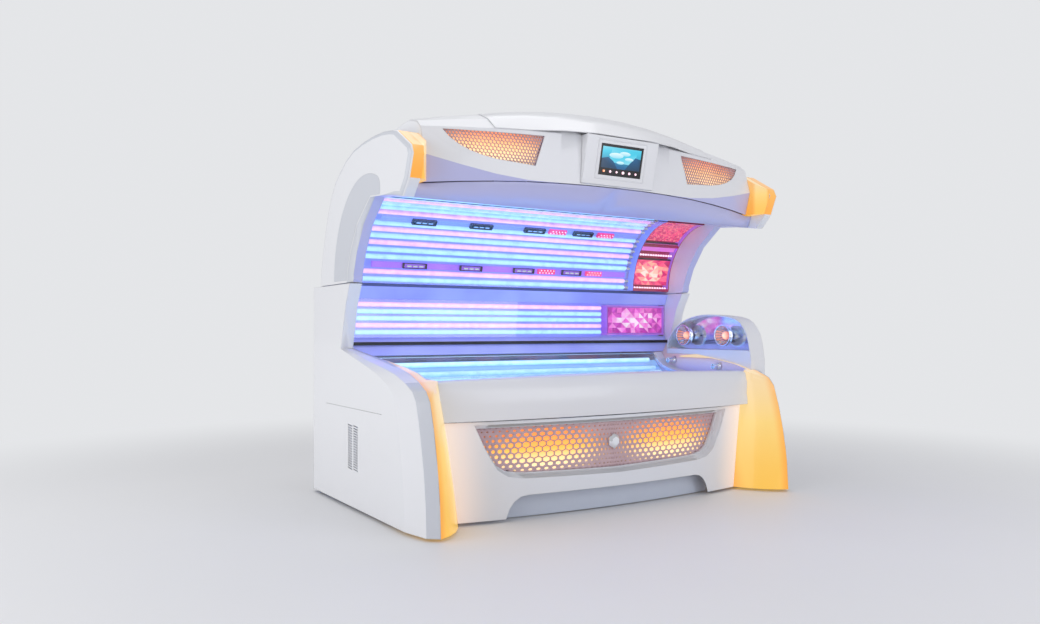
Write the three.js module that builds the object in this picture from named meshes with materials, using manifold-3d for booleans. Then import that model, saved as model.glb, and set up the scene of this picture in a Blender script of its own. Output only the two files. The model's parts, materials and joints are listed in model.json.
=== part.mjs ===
// Clamshell tanning bed: base with bench, side wall and head console, and a hinged canopy with lamps.
// Millimetres, +X along the bed to the head end, +Y to the rear, +Z up, floor at Z = 0.
import * as THREE from "three";
import { mergeVertices } from "three/addons/utils/BufferGeometryUtils.js";
import Module from "manifold-3d";

const wasm = await Module();
wasm.setup();

// Driving dimensions
const length = 2360;
const depth = 1460;
const splitHeight = 1163;
const floorGap = 15;
const wall = 4;
const fit = 0.3;
const seam = 0.8;
const bowSag = 0.6;

// End covers
const armWidth = 140;
const columnWidth = 68;
const noseInset = 80;
const noseLean = 120;
const sideFrontY = -526;
const sideLean = 129;
const leanHeight = 640;
const stripFootX = 891;
const stripLean = 0.155;
const stripFrontY = -490;
const armInnerFrontY = -450;
const armShoulderZ = 740;
const columnShoulderZ = 830;

// Canopy
const hingeY = 172;
const hingeZ = 1190;
const hingeCornerRadius = 24;
const splitGap = 3;
const capWidth = 120;
const canopyRearY = 622;
const lampCentreY = -60;
const lampCentreZ = 1172;
const lampHalfDepth = 350;
const lampHalfHeight = 418;
const acrylicThickness = 4;
const reflectorOffset = 75;
const sheetThickness = 3;
const lipRearZ = 1600;
const lipY = -415;
const lipZ = 1537;
const faceModuleWidth = 374;

// Lamps
const lampRadius = 14;
const lampOffset = 36;
const sideLampRadius = 15;
const lampSides = 8;

// Lift and hinge
const pinRadius = 9;
const crankLength = 160;
const crankRest = THREE.MathUtils.degToRad(-21);
const plateThickness = 7;

// Frame
const frameBottom = 60;
const frameTube = 50;
const frameFrontY = -420;
const frameRearY = 560;

const halfLength = length / 2;
const rearY = depth / 2;
const frontY = -depth / 2;
const armX = halfLength - armWidth;
const columnX = halfLength - columnWidth;
const noseX = halfLength - noseInset;
const capX = halfLength - capWidth;
const faceModuleX = halfLength - faceModuleWidth;
const lugX = halfLength - 46;
const crankX = halfLength - 34;
const rodX = halfLength - 18;
const postX = lugX;
const canopyBottom = splitHeight + splitGap;

// Geometry helpers
function toSolid(geometry) {
  const plain = geometry.index ? geometry.toNonIndexed() : geometry.clone();
  plain.deleteAttribute("normal");
  plain.deleteAttribute("uv");
  const merged = mergeVertices(plain, 1e-4);
  const vertProperties = merged.attributes.position.array;
  const triVerts = new Uint32Array(merged.index.array);
  return new wasm.Manifold(new wasm.Mesh({ numProp: 3, vertProperties, triVerts }));
}

function toGeometry(solid) {
  const mesh = solid.getMesh();
  const geometry = new THREE.BufferGeometry();
  geometry.setAttribute("position", new THREE.BufferAttribute(mesh.vertProperties, 3));
  geometry.setIndex(new THREE.BufferAttribute(mesh.triVerts, 1));
  return geometry;
}

const axisBasis = {
  x: [new THREE.Vector3(0, 1, 0), new THREE.Vector3(0, 0, 1), new THREE.Vector3(1, 0, 0)],
  y: [new THREE.Vector3(1, 0, 0), new THREE.Vector3(0, 0, 1), new THREE.Vector3(0, -1, 0)],
  z: [new THREE.Vector3(1, 0, 0), new THREE.Vector3(0, 1, 0), new THREE.Vector3(0, 0, 1)],
};

// A flat outline extruded along an axis: [y, z] along x, [x, z] along y, [x, y] along z.
function prism(axis, outline, from, to) {
  const shape = new THREE.Shape(outline.map(([a, b]) => new THREE.Vector2(a, b)));
  const geometry = new THREE.ExtrudeGeometry(shape, { depth: to - from, bevelEnabled: false });
  geometry.translate(0, 0, axis === "y" ? -to : from);
  geometry.applyMatrix4(new THREE.Matrix4().makeBasis(...axisBasis[axis]));
  return toSolid(geometry);
}

function box(x0, x1, y0, y1, z0, z1) {
  const geometry = new THREE.BoxGeometry(x1 - x0, y1 - y0, z1 - z0);
  geometry.translate((x0 + x1) / 2, (y0 + y1) / 2, (z0 + z1) / 2);
  return toSolid(geometry);
}

// A profile of [radius, height] turned about an axis through a point.
function turned(axis, centre, profile, sides = 24) {
  const geometry = new THREE.LatheGeometry(
    profile.map(([r, h]) => new THREE.Vector2(r, h)),
    sides,
  );
  if (axis === "x") geometry.rotateZ(-Math.PI / 2);
  if (axis === "z") geometry.rotateX(Math.PI / 2);
  geometry.translate(...centre);
  return toSolid(geometry);
}

function rod(axis, centre, radius, from, to, sides = 16) {
  const profile = [
    [0, from],
    [radius, from],
    [radius, to],
    [0, to],
  ];
  return turned(axis, centre, profile, sides);
}

function signedArea(loop) {
  return THREE.ShapeUtils.area(loop);
}

// A closed skin through loops of equal count, placed one after another along +x or +z.
// Each quad is split along its shorter diagonal, so that parallel skins have parallel facets.
function loft(axis, rings) {
  const flat = (p) => (axis === "x" ? new THREE.Vector2(p.y, p.z) : new THREE.Vector2(p.x, p.y));
  const turnedRound = signedArea(rings[0].map(flat)) < 0;
  const loops = turnedRound ? rings.map((ring) => [...ring].reverse()) : rings;
  const points = loops.flat();
  const count = loops[0].length;
  const faces = [];
  for (let r = 0; r + 1 < loops.length; r++)
    for (let i = 0; i < count; i++) {
      const a = r * count + i;
      const b = r * count + ((i + 1) % count);
      const [c, d] = [a + count, b + count];
      const shorter = points[a].distanceTo(points[d]) <= points[b].distanceTo(points[c]);
      faces.push(...(shorter ? [a, b, d, a, d, c] : [a, b, c, b, d, c]));
    }
  const last = (loops.length - 1) * count;
  for (const [a, b, c] of THREE.ShapeUtils.triangulateShape(loops[0].map(flat), []))
    faces.push(c, b, a);
  for (const [a, b, c] of THREE.ShapeUtils.triangulateShape(loops.at(-1).map(flat), []))
    faces.push(last + a, last + b, last + c);
  const geometry = new THREE.BufferGeometry().setFromPoints(points);
  geometry.setIndex(faces);
  return toSolid(geometry);
}

// Outline points moved to the left of their direction, with mitred corners.
function offset(points, distance, closed = false) {
  const n = points.length;
  const side = (p, q) => {
    const run = Math.hypot(q[0] - p[0], q[1] - p[1]);
    return [-(q[1] - p[1]) / run, (q[0] - p[0]) / run];
  };
  return points.map((p, i) => {
    const first = i > 0 || closed ? side(points[(i + n - 1) % n], p) : side(p, points[1]);
    const second = i + 1 < n || closed ? side(p, points[(i + 1) % n]) : first;
    const spread = 1 + first[0] * second[0] + first[1] * second[1];
    return [
      p[0] + ((first[0] + second[0]) / spread) * distance,
      p[1] + ((first[1] + second[1]) / spread) * distance,
    ];
  });
}

function sheetLoop(points, thickness) {
  return [...points, ...offset(points, thickness).reverse()];
}

function spline(points, count) {
  const curve = new THREE.SplineCurve(points.map(([a, b]) => new THREE.Vector2(a, b)));
  return curve.getPoints(count).map((p) => [p.x, p.y]);
}

function bend(start, control, end, count) {
  const [a, b, c] = [start, control, end].map(([x, y]) => new THREE.Vector2(x, y));
  return new THREE.QuadraticBezierCurve(a, b, c).getPoints(count).map((p) => [p.x, p.y]);
}

function mirrored(points) {
  return points.map(([a, b]) => [-a, b]).reverse();
}

const mix = (p, q, share) => p.map((v, i) => v + (q[i] - v) * share);
const across = (x, points) => points.map(([y, z]) => new THREE.Vector3(x, y, z));
const level = (z, points) => points.map(([x, y]) => new THREE.Vector3(x, y, z));
const join = (solids) => solids.reduce((all, solid) => all.add(solid));

function stations(from, to, count) {
  return Array.from({ length: count + 1 }, (_, i) => from + ((to - from) * i) / count);
}

// A solid mirrored to the other end of the bed.
const mirrorX = (solid) => {
  const geometry = toGeometry(solid).toNonIndexed().scale(-1, 1, 1);
  const turn = geometry.attributes.position;
  for (let i = 0; i < turn.count; i += 3) {
    const [a, c] = [i, i + 2].map((k) => new THREE.Vector3().fromBufferAttribute(turn, k));
    turn.setXYZ(i, c.x, c.y, c.z);
    turn.setXYZ(i + 2, a.x, a.y, a.z);
  }
  return toSolid(geometry);
};

// Materials
function finish(color, roughness, metalness = 0, extra = {}) {
  return () => new THREE.MeshStandardMaterial({ color, roughness, metalness, ...extra });
}
const whitePlastic = finish(0xe9eaf2, 0.25);
const greyPlastic = finish(0xb9bfcc, 0.45);
const darkPlastic = finish(0x2a2c33, 0.5);
const glowPlastic = finish(0xffb347, 0.35, 0, { emissive: 0xff9a20 });
const mauveMetal = finish(0xc9a3ac, 0.35, 0.6);
const clearPlastic = finish(0xcfe2ff, 0.08, 0, { transparent: true, opacity: 0.25 });
const lampGlass = finish(0xbfe4ff, 0.2, 0, { emissive: 0x66bfff });
const bulbGlass = finish(0xffd9b0, 0.15, 0, { emissive: 0xffb070 });
const aluminium = finish(0xd5d9e6, 0.2, 0.9);
const steel = finish(0x6c7078, 0.5, 0.8);
const chrome = finish(0xe8ecf4, 0.08, 1);
const screenGlass = finish(0x0a0d12, 0.1);

const bed = new THREE.Group();
const base = new THREE.Group();
const canopy = new THREE.Group();
bed.add(base, canopy);

function place(group, name, solid, material, mirror = false) {
  const mesh = new THREE.Mesh(toGeometry(solid), material());
  mesh.name = name;
  if (mirror) mesh.scale.x = -1;
  group.add(mesh);
}

// End covers: plan outline leaning back with height, cut by a side profile that draws in to the outer face
const leanAt = (z) => (Math.min(z, armShoulderZ) / leanHeight) ** 2;
const noseY = (z) => frontY + noseLean * leanAt(z);
const sideY = (z) => sideFrontY + sideLean * leanAt(z);
function endPlan(z) {
  const shoulder = THREE.MathUtils.smoothstep(z, armShoulderZ, columnShoulderZ);
  const innerX = armX + (columnX - armX) * shoulder;
  const stripX = Math.min(innerX - 1, stripFootX + stripLean * z);
  const nose = [noseX, noseY(z)];
  const strip = bend([stripX, stripFrontY], [(stripX + noseX) / 2 - 25, nose[1] + 50], nose, 4);
  return [
    [innerX, rearY],
    [innerX, armInnerFrontY],
    ...strip,
    [halfLength, nose[1]],
    [halfLength, rearY],
  ];
}

const columnRim = [
  [158, splitHeight],
  [216, 1055],
  [290, 822],
];
const armRidge = [
  [29, 778],
  [-243, 738],
  [-380, 716],
  [-500, 682],
  [-585, 645],
];
const armEdge = [
  [29, 765],
  [-100, 735],
  [-227, 704],
  [-330, 664],
  [-385, 634],
];

// Side profile of an end cover, from the nose line (share 0) to the crease of its outer face (share 1)
function endProfile(share, bottom, top) {
  const armTop = armRidge.map((p, i) => mix(p, armEdge[i], share));
  const noseLine = [600, 480, 300, 150, bottom].map((z) => [noseY(z) + (sideY(z) - noseY(z)) * share, z]);
  return [
    [rearY, bottom],
    [rearY, top],
    [columnRim[0][0], top],
    ...columnRim.slice(top > splitHeight ? 0 : 1),
    ...armTop,
    ...noseLine,
  ];
}

const facetX = halfLength - 30;
const facetShare = 0.2;
function endSolid(grow, bottom = floorGap, top = splitHeight) {
  const heights = [bottom, 200, 400, 520, 620, armShoulderZ, columnShoulderZ, 900, top];
  const plan = loft("z", heights.map((z) => level(z, offset(endPlan(z), -grow, true))));
  const ring = (x, share) => across(x + grow, offset(endProfile(share, bottom, top), -grow, true));
  const rings = [ring(stripFootX - 60, 0), ring(noseX, 0), ring(facetX, facetShare), ring(halfLength, 1)];
  return plan.intersect(loft("x", rings));
}

const openEnd = 100;
const endOutside = endSolid(0);
const endClear = endSolid(seam);
const endHollow = endSolid(-wall, floorGap - openEnd, splitHeight + openEnd);
const innerWallFoot = 600;
const skirtDoorY = 345;
const skirtDoorZ = 850;
const frameDoor = prism(
  "z",
  [
    [stripFootX - 40, stripFrontY + 14],
    [armX - 60, stripFrontY + 14],
    [armX + wall + 2, armInnerFrontY],
    [armX + wall + 2, rearY - 2 * wall],
    [stripFootX - 40, rearY - 2 * wall],
  ],
  floorGap - 1,
  innerWallFoot,
);
const doorRearY = rearY - 2 * wall;
const skirtDoor = box(columnX - 10, columnX + wall + 1, skirtDoorY, doorRearY, skirtDoorZ, splitHeight + 1);
const ledgeY = canopyRearY + 8;
const ledge = endOutside.intersect(box(columnX, halfLength, ledgeY, rearY, splitHeight - wall, splitHeight));
let endShell = endOutside.subtract(endHollow).subtract(frameDoor).subtract(skirtDoor).add(ledge);

// Slanted cooling slots low in the side of each end cover
const ventY = 115;
const ventZ = 320;
const ventRows = 18;
const ventPitch = 13;
const slotLength = 62;
const slotHeight = 5;
for (let row = 0; row < ventRows; row++)
  for (const column of [-1, 1]) {
    const y = ventY + column * (slotLength / 2 + 8);
    const z = ventZ + (row - (ventRows - 1) / 2) * ventPitch;
    const slot = [
      [y - slotLength / 2, z - slotHeight],
      [y + slotLength / 2, z],
      [y + slotLength / 2, z + slotHeight],
      [y - slotLength / 2, z],
    ];
    endShell = endShell.subtract(prism("x", slot, halfLength - wall - 1, halfLength + 1));
  }

// The glowing strip takes the inner front of the nose and runs back along the arm in a narrowing band
const stripEndY = 110;
const stripZone = (grow) =>
  prism(
    "z",
    offset(
      [
        [stripFootX - 60, frontY - 50],
        [noseX, frontY - 50],
        [noseX, -560],
        [armX + 14, stripEndY],
        [armX + 6, stripEndY],
        [armX + 6, stripFrontY + 16],
        [stripFootX - 60, stripFrontY + 16],
      ],
      -grow,
      true,
    ),
    0,
    splitHeight,
  );
const lightStrip = endShell.intersect(stripZone(0));
const endCover = endShell.subtract(stripZone(fit));

// Nozzle balls of the head console sit in round holes of the right arm's inner wall
const nozzlePlaces = { front: [-248, 700], rear: [157, 726] };
const nozzleRadius = 24;
const nozzleClearance = 0.3;
const spoutRadius = 16;
const spoutReach = 48;
const nozzleX = armX - 6;
const ball = (radius, centre) => toSolid(new THREE.SphereGeometry(radius, 12, 8).translate(...centre));
const sockets = Object.values(nozzlePlaces).map(([y, z]) =>
  rod("x", [0, y, z], nozzleRadius + nozzleClearance, armX - 1, armX + nozzleRadius),
);

place(base, "left_end_cover", endCover, whitePlastic, true);
place(base, "right_light_strip", lightStrip, glowPlastic);
place(base, "left_light_strip", lightStrip, glowPlastic, true);
const bothEnds = endClear.add(mirrorX(endClear));

// Front panel, bowed in plan, with an arched foot and a window whose surround slopes in to the grille
const panelCentreY = -590;
const panelBow = 76;
const panelBowX = 842;
const panelTop = 486;
const recess = 62;
const archTop = 123;
const panelY = (x) => panelCentreY + panelBow * (x / panelBowX) ** 2;
const panelOutline = [
  [armX, panelTop],
  [armX, floorGap],
  [659, floorGap],
  ...bend([659, floorGap], [630, archTop], [542, archTop], 4).slice(1),
];
const windowHalf = [
  [0, 188],
  [560, 200],
  [650, 214],
  [706, 250],
  [764, 340],
  [826, 474],
];
const windowLoop = (grow) => offset([...windowHalf, ...mirrored(windowHalf.slice(1))], -grow, true);
const panelXs = stations(-armX, armX, 14);

// A slab that follows the panel's bow, from one depth behind its face to another.
function bowedSlab(outline, from, to) {
  const section = (front, back) => [
    [front, 0],
    [back, 0],
    [back, splitHeight],
    [front, splitHeight],
  ];
  const slab = loft("x", panelXs.map((x) => across(x, section(panelY(x) + from, panelY(x) + to))));
  return slab.intersect(prism("y", outline, frontY - 50, rearY));
}
const surroundSteps = 4;
const surroundShrink = 7;
const panelBox = [
  [-armX, 0],
  [armX, 0],
  [armX, panelTop],
  [-armX, panelTop],
];
const surround = join(
  stations(0, 1, surroundSteps).slice(0, -1).map((share, step) => {
    const from = share * (recess - fit);
    const shrink = surroundShrink * step;
    const ring = prism("y", windowLoop(wall - shrink), frontY, 0).subtract(
      prism("y", windowLoop(-shrink - wall), frontY - 1, 1),
    );
    return bowedSlab(panelBox, from, from + recess / surroundSteps).intersect(ring);
  }),
);
const panelFace = bowedSlab([...panelOutline, ...mirrored(panelOutline)], 0, wall);
const frontPanel = panelFace.subtract(prism("y", windowLoop(0), frontY, 0)).add(surround).subtract(bothEnds);
place(base, "front_panel", frontPanel, whitePlastic);

// Grille, light box and badge in the window
const grilleThickness = 6;
const grilleInset = 12;
const lightBoxDepth = 44;
const lightBoxInset = 30;
const grilleBack = recess + grilleThickness;
place(base, "front_grille", bowedSlab(windowLoop(-grilleInset), recess, grilleBack), mauveMetal);
const lightBoxFront = grilleBack + fit;
const lightBoxBack = lightBoxFront + lightBoxDepth;
const lightBox = bowedSlab(windowLoop(-lightBoxInset), lightBoxFront, lightBoxBack).subtract(
  bowedSlab(windowLoop(-lightBoxInset - wall), lightBoxFront + wall, lightBoxBack + 1),
);
place(base, "front_light_box", lightBox, glowPlastic);
const badgeRadius = 40;
const badgeZ = 345;
const badgeBack = panelCentreY + recess - fit;
const badgeFront = badgeBack - 22;
const badgeProfile = [
  [0, badgeFront],
  [badgeRadius * 0.6, badgeFront],
  [badgeRadius, badgeBack - 10],
  [badgeRadius, badgeBack],
  [0, badgeBack],
];
place(base, "grille_badge", turned("y", [0, 0, badgeZ], badgeProfile, 6), chrome);

// Plinth behind the arch
const plinthSetback = 70;
const plinthHalf = halfLength - 460;
const [plinthLow, plinthHigh] = [6, archTop + 40];
const plinthOutline = [
  [-plinthHalf, plinthLow],
  [plinthHalf, plinthLow],
  [plinthHalf, plinthHigh],
  [-plinthHalf, plinthHigh],
];
place(base, "plinth", bowedSlab(plinthOutline, plinthSetback, plinthSetback + wall), greyPlastic);

// Front rail: bowed channel above the panel
const railBow = (x) => 1 - (x / armX) ** 2;
function railOutline(x) {
  const b = railBow(x);
  return [
    [-436 - 50 * b, 640],
    [-444 - 50 * b, 672 + 16 * b],
    [-470 - 66 * b, 682 + 18 * b],
    [-492 - 84 * b, 672 + 18 * b],
    [-506 - 104 * b, 620 + 16 * b],
    [-510 - 110 * b, 552 + 12 * b],
    [-524 - 76 * b, 493 - 2 * b],
    [-470 - 60 * b, 493 - 2 * b],
  ];
}
const railXs = stations(-armX, armX, 16);
const rail = loft("x", railXs.map((x) => across(x, sheetLoop(railOutline(x), wall))));
place(base, "front_rail", rail.subtract(bothEnds), whitePlastic);

// Bench line from front to rear, shared by the sheet, lamps, reflector and supports
const benchControl = [
  [-430, 668],
  [-300, 650],
  [-90, 642],
  [110, 662],
  [225, 706],
  [290, 770],
];
const benchThickness = 8;
const benchHalf = armX - seam;
const shelfWidth = 64;
const benchRight = armX - shelfWidth;
const benchLine = (drop) => offset(spline(benchControl, 18), -drop);
const benchReflectorDrop = 84;

// Rear panel between the columns, with cooling slots behind the fan
const fanX = -420;
const fanZ = 330;
const fanHalf = 115;
const rearEdge = [
  [armX - fit, floorGap],
  [armX - fit, armShoulderZ + 1],
  [columnX - fit, columnShoulderZ + 1],
  [columnX - fit, splitHeight - seam],
];
const rearPanel = prism("y", [...rearEdge, ...mirrored(rearEdge)], rearY - wall, rearY);
const rearSlotHalf = 80;
const rearSlots = stations(fanZ - 78, fanZ + 78, 6).map((z) =>
  box(fanX - rearSlotHalf, fanX + rearSlotHalf, rearY - 2 * wall, rearY + 1, z - slotHeight, z + slotHeight),
);
const rearTop = splitHeight - seam;
const rearLedge = box(fit - columnX, columnX - fit, ledgeY, rearY - 1, rearTop - wall, rearTop);
place(base, "rear_panel", rearPanel.subtract(join(rearSlots)).add(rearLedge), whitePlastic);

// Welded base frame with uprights, hinge lugs and pins
const frameTop = frameBottom + frameTube;
const uprightWidth = 36;
const postTop = 1010;
const lugEyeRadius = 16;
const lugWidth = 20;
const bar = (from, to, width) => {
  const run = Math.hypot(to[0] - from[0], to[1] - from[1]);
  const [uy, uz] = [(to[0] - from[0]) / run, (to[1] - from[1]) / run];
  const [sy, sz] = [(-uz * width) / 2, (uy * width) / 2];
  return [
    [from[0] + sy, from[1] + sz],
    [from[0] - sy, from[1] - sz],
    [to[0] - sy, to[1] - sz],
    [to[0] + sy, to[1] + sz],
  ];
};
const actuatorY = hingeY + crankLength * Math.cos(crankRest);
const actuatorFoot = 420;
const frameSide = join([
  box(postX, postX + uprightWidth, frameRearY, frameRearY + frameTube, frameBottom, postTop),
  prism("x", bar([hingeY, hingeZ], [frameRearY + 20, postTop - 20], lugWidth), lugX, lugX + plateThickness),
  rod("x", [0, hingeY, hingeZ], lugEyeRadius, lugX, lugX + plateThickness),
  rod("x", [0, hingeY, hingeZ], pinRadius, lugX - 6, crankX + plateThickness + 6),
  box(postX, postX + uprightWidth, actuatorY - 25, frameRearY + 1, actuatorFoot - 30, actuatorFoot - fit),
]);
const crossXs = [220 - halfLength, -360, 340, halfLength - 270];
const supportThickness = 6;
const benchSupports = crossXs.map((x) => {
  const top = benchLine(benchReflectorDrop + fit);
  const foot = [
    [top.at(-1)[0], frameTop - 1],
    [frameFrontY, frameTop - 1],
    [frameFrontY, top[0][1] - 60],
  ];
  return prism("x", [...top, ...foot], x, x + supportThickness);
});

// Brackets at the two middle cross members carry the plinth, the light box and the front rail
const postStep = 560;
const railBracketZ = 585;
const bracketThickness = 12;
const frontBrackets = [crossXs[1], crossXs[2]].map((x) => {
  const outer = Math.max(Math.abs(x), Math.abs(x + frameTube));
  const plinthBack = panelY(outer) + plinthSetback + wall + bowSag + fit;
  const boxBack = panelY(outer) + lightBoxBack + bowSag + fit;
  const [upper, crease] = railOutline(outer).slice(4, 6);
  const rise = (railBracketZ - crease[1]) / (upper[1] - crease[1]);
  const railInside = crease[0] + (upper[0] - crease[0]) * rise + wall + bowSag + fit;
  return join([
    box(x, x + frameTube, plinthBack, frameFrontY + 1, frameBottom, frameTop),
    box(x, x + frameTube, boxBack, frameFrontY + frameTube, frameBottom, postStep),
    box(x, x + frameTube, boxBack, boxBack + bracketThickness, postStep - 1, railBracketZ),
    box(x, x + frameTube, railInside, boxBack + 1, railBracketZ - bracketThickness, railBracketZ),
  ]);
});
const baseFrame = join([
  box(-postX - uprightWidth, postX + uprightWidth, frameRearY, frameRearY + frameTube, frameBottom, frameTop),
  box(crossXs[0], crossXs.at(-1) + frameTube, frameFrontY, frameFrontY + frameTube, frameBottom, frameTop),
  ...crossXs.map((x) => box(x, x + frameTube, frameFrontY, frameRearY + 1, frameBottom, frameTop)),
  ...benchSupports,
  ...frontBrackets,
  frameSide,
  mirrorX(frameSide),
]);

// The right arm carries a head shelf in line with the bench sheet
const shelfThickness = 10;
const shelf = prism("x", sheetLoop(benchLine(0), shelfThickness), benchRight, armX + 1);
place(base, "right_end_cover", endCover.subtract(join(sockets)).add(shelf), whitePlastic);
place(
  base,
  "bench_reflector",
  prism("x", sheetLoop(benchLine(benchReflectorDrop), sheetThickness), -benchHalf, benchHalf),
  aluminium,
);
const benchSheet = sheetLoop(benchLine(benchThickness), benchThickness);
place(base, "bench_acrylic", prism("x", benchSheet, -benchHalf, benchRight - seam), clearPlastic);

// Lamps in a row joined by the socket strips at their ends
const socketWidth = 24;
function lampBank(places, radius, strip, from, to) {
  const tubes = places.map(([y, z]) => rod("x", [0, y, z], radius, from + wall, to - wall, lampSides));
  const strips = [from, to - socketWidth].map((x) => prism("x", strip, x, x + socketWidth));
  return join([...tubes, ...strips]);
}
const benchLampRadius = 17;
const benchLampCount = 13;
const benchLampDrop = 40;
const benchHalfPitches = offset(spline(benchControl, 2 * benchLampCount), -benchLampDrop);
const benchPlaces = benchHalfPitches.filter((_, i) => i % 2 === 1);
const benchStripDrop = benchReflectorDrop - sheetThickness - fit;
const benchStrip = sheetLoop(benchLine(benchStripDrop), benchStripDrop - benchThickness - fit);
const benchLamps = lampBank(benchPlaces, benchLampRadius, benchStrip, -benchHalf, benchRight - seam);
place(base, "bench_lamp_bank", benchLamps, lampGlass);

// Side wall above the bench
const sideFaceY = 326;
const sideLow = 884;
const sideHigh = 1088;
const sideHalf = columnX - 3;
const sideBackY = 388;
const sideLip = 4;
const sideOutline = [
  [296, splitHeight - 5],
  [sideFaceY - 4, sideHigh + sideLip],
  [sideBackY, sideHigh + sideLip],
  [sideBackY, sideLow - sideLip],
  [sideFaceY - 4, sideLow - sideLip],
  [322, 850],
  [301, 782],
];
const sideSheet = prism("x", sheetLoop(sideOutline, sheetThickness), -sideHalf, sideHalf);
place(base, "side_reflector", sideSheet.subtract(bothEnds), aluminium);
const sideCount = 5;
const sideMargin = 8;
const sidePitch = (sideHigh - sideLow - 2 * sideMargin) / sideCount;
const sideLampY = 355;
const lowestLamp = sideLow + sideMargin + sidePitch / 2;
const highestLamp = sideHigh - sideMargin - sidePitch / 2;
const sidePlaces = stations(lowestLamp, highestLamp, sideCount - 1).map((z) => [sideLampY, z]);
const [trayLow, trayHigh] = [sideLow + 6, sideHigh - 6];
const sideStrip = [
  [sideLampY - 12, trayLow],
  [sideBackY - fit, trayLow],
  [sideBackY - fit, trayHigh],
  [sideLampY - 12, trayHigh],
];
const shoulderX = halfLength - 560;
const sideLamps = lampBank(sidePlaces, sideLampRadius, sideStrip, 6 - sideHalf, shoulderX - 10);
place(base, "side_lamp_bank", sideLamps, lampGlass);
const [acrylicLow, acrylicHigh] = [sideLow - sideLip + seam, sideHigh + sideLip - seam];
const acrylicBackY = sideFaceY + acrylicThickness;
const sideAcrylic = box(-sideHalf, sideHalf, sideFaceY, acrylicBackY, acrylicLow, acrylicHigh);
place(base, "side_acrylic", sideAcrylic, clearPlastic);
const trimFrontY = 300;
const trimLow = 838;
const trimSize = 18;
const trimRail = box(-sideHalf, sideHalf, trimFrontY, trimFrontY + trimSize, trimLow, trimLow + trimSize);
place(base, "side_trim_rail", trimRail.subtract(bothEnds), darkPlastic);

// Shoulder tanner: tray with slanted reflector ridges
const shoulderEnd = sideHalf - 8;
const shoulderY0 = acrylicBackY + fit;
const trayFloorY = sideBackY - 12;
const trayRim = 8;
const shoulderTray = box(shoulderX, shoulderEnd, shoulderY0, sideBackY - fit, trayLow, trayHigh).subtract(
  box(shoulderX + wall, shoulderEnd - wall, 0, trayFloorY, trayLow + trayRim, trayHigh - trayRim),
);
const ridgeHalf = 40;
const ridges = stations(shoulderX, shoulderEnd, 4).slice(1, -1).map((x) => {
  const plan = [
    [x - ridgeHalf, trayFloorY + 1],
    [x, shoulderY0 + 14],
    [x + ridgeHalf, trayFloorY + 1],
  ];
  return prism("z", plan, trayLow + wall, trayHigh - wall);
});
place(base, "shoulder_module", shoulderTray.add(join(ridges)), aluminium);

// Head console on the right arm
const podFace = armX + 22;
const podOutline = spline(
  [
    [-486, 745],
    [-455, 890],
    [-370, 985],
    [-200, 1014],
    [-60, 1016],
    [80, 986],
    [190, 920],
    [250, 830],
  ],
  20,
);
const podLoop = [...podOutline, [250, 600], [-486, 600]];
const podWall = 6;
const podPocket = 80;
const bowlRadius = 66;
const bowlZ = 888;
const bowlYs = { front: -246, rear: 100 };
const podTurn = Math.sign(signedArea(podLoop.map(([a, b]) => new THREE.Vector2(a, b))));
const podInset = (distance) => offset(podLoop, distance * podTurn, true);
const armClear = endSolid(fit);
const podFloor = 800;
const aboveFloor = (floor) => box(armX, halfLength, frontY, rearY, floor, splitHeight);
const podInside = prism("x", podInset(podWall), podFace - 1, podFace + podPocket);
const podRoom = podInside.intersect(aboveFloor(podFloor));
const podBody = prism("x", podLoop, podFace, halfLength - 2).subtract(armClear).subtract(podRoom);
place(base, "console_pod", podBody, whitePlastic);
const lensThickness = 3;
const lensRoom = (inset, from, to) =>
  prism("x", podInset(inset), from, to)
    .intersect(aboveFloor(podFloor + inset - podWall))
    .subtract(armClear);
const lensX = podFace + 1;
place(base, "console_lens", lensRoom(podWall + fit, lensX, lensX + lensThickness), clearPlastic);
const plateX = podFace + podPocket - 5;
const bowlRim = lensX + lensThickness + fit;
const bowlSolid = (grow, y) => {
  const [radius, height] = [bowlRadius + grow, plateX - bowlRim + grow];
  const profile = stations(Math.PI / 2, 0, 5).map((a) => [radius * Math.sin(a), height * Math.cos(a)]);
  return turned("x", [bowlRim, y, bowlZ], [[0, 0], ...profile], 16);
};
const reflectorPlate = lensRoom(podWall + fit, plateX, plateX + sheetThickness);
const bowls = Object.values(bowlYs);
const bowlRoom = lensRoom(podWall + fit, podFace, podFace + podPocket - fit);
const bowlShells = join(bowls.map((y) => bowlSolid(sheetThickness, y))).intersect(bowlRoom);
const bowlHollows = join(bowls.map((y) => bowlSolid(0, y)));
place(base, "console_reflector", reflectorPlate.add(bowlShells).subtract(bowlHollows), chrome);
const bulbRadius = 26;
const bulbNeckRadius = 12;
const bulbSeat = 2.6;
const bulbNeck = 20;
for (const [end, y] of Object.entries(bowlYs)) {
  const seatX = plateX - bulbSeat - fit;
  const neck = rod("x", [0, y, bowlZ], bulbNeckRadius, seatX - bulbNeck, seatX);
  const bulb = ball(bulbRadius, [seatX - bulbRadius - wall, y, bowlZ]);
  place(base, `console_bulb_${end}`, bulb.add(neck), bulbGlass);
}
for (const [end, [y, z]] of Object.entries(nozzlePlaces)) {
  const spout = rod("x", [0, y, z], spoutRadius, nozzleX - spoutReach, nozzleX, 12);
  const mouthEnd = nozzleX - nozzleRadius - 2;
  const mouth = rod("x", [0, y, z], spoutRadius - wall, nozzleX - spoutReach - 1, mouthEnd, 12);
  const nozzle = ball(nozzleRadius, [nozzleX, y, z]).add(spout).subtract(mouth);
  place(base, `console_nozzle_${end}`, nozzle, chrome);
}

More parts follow.
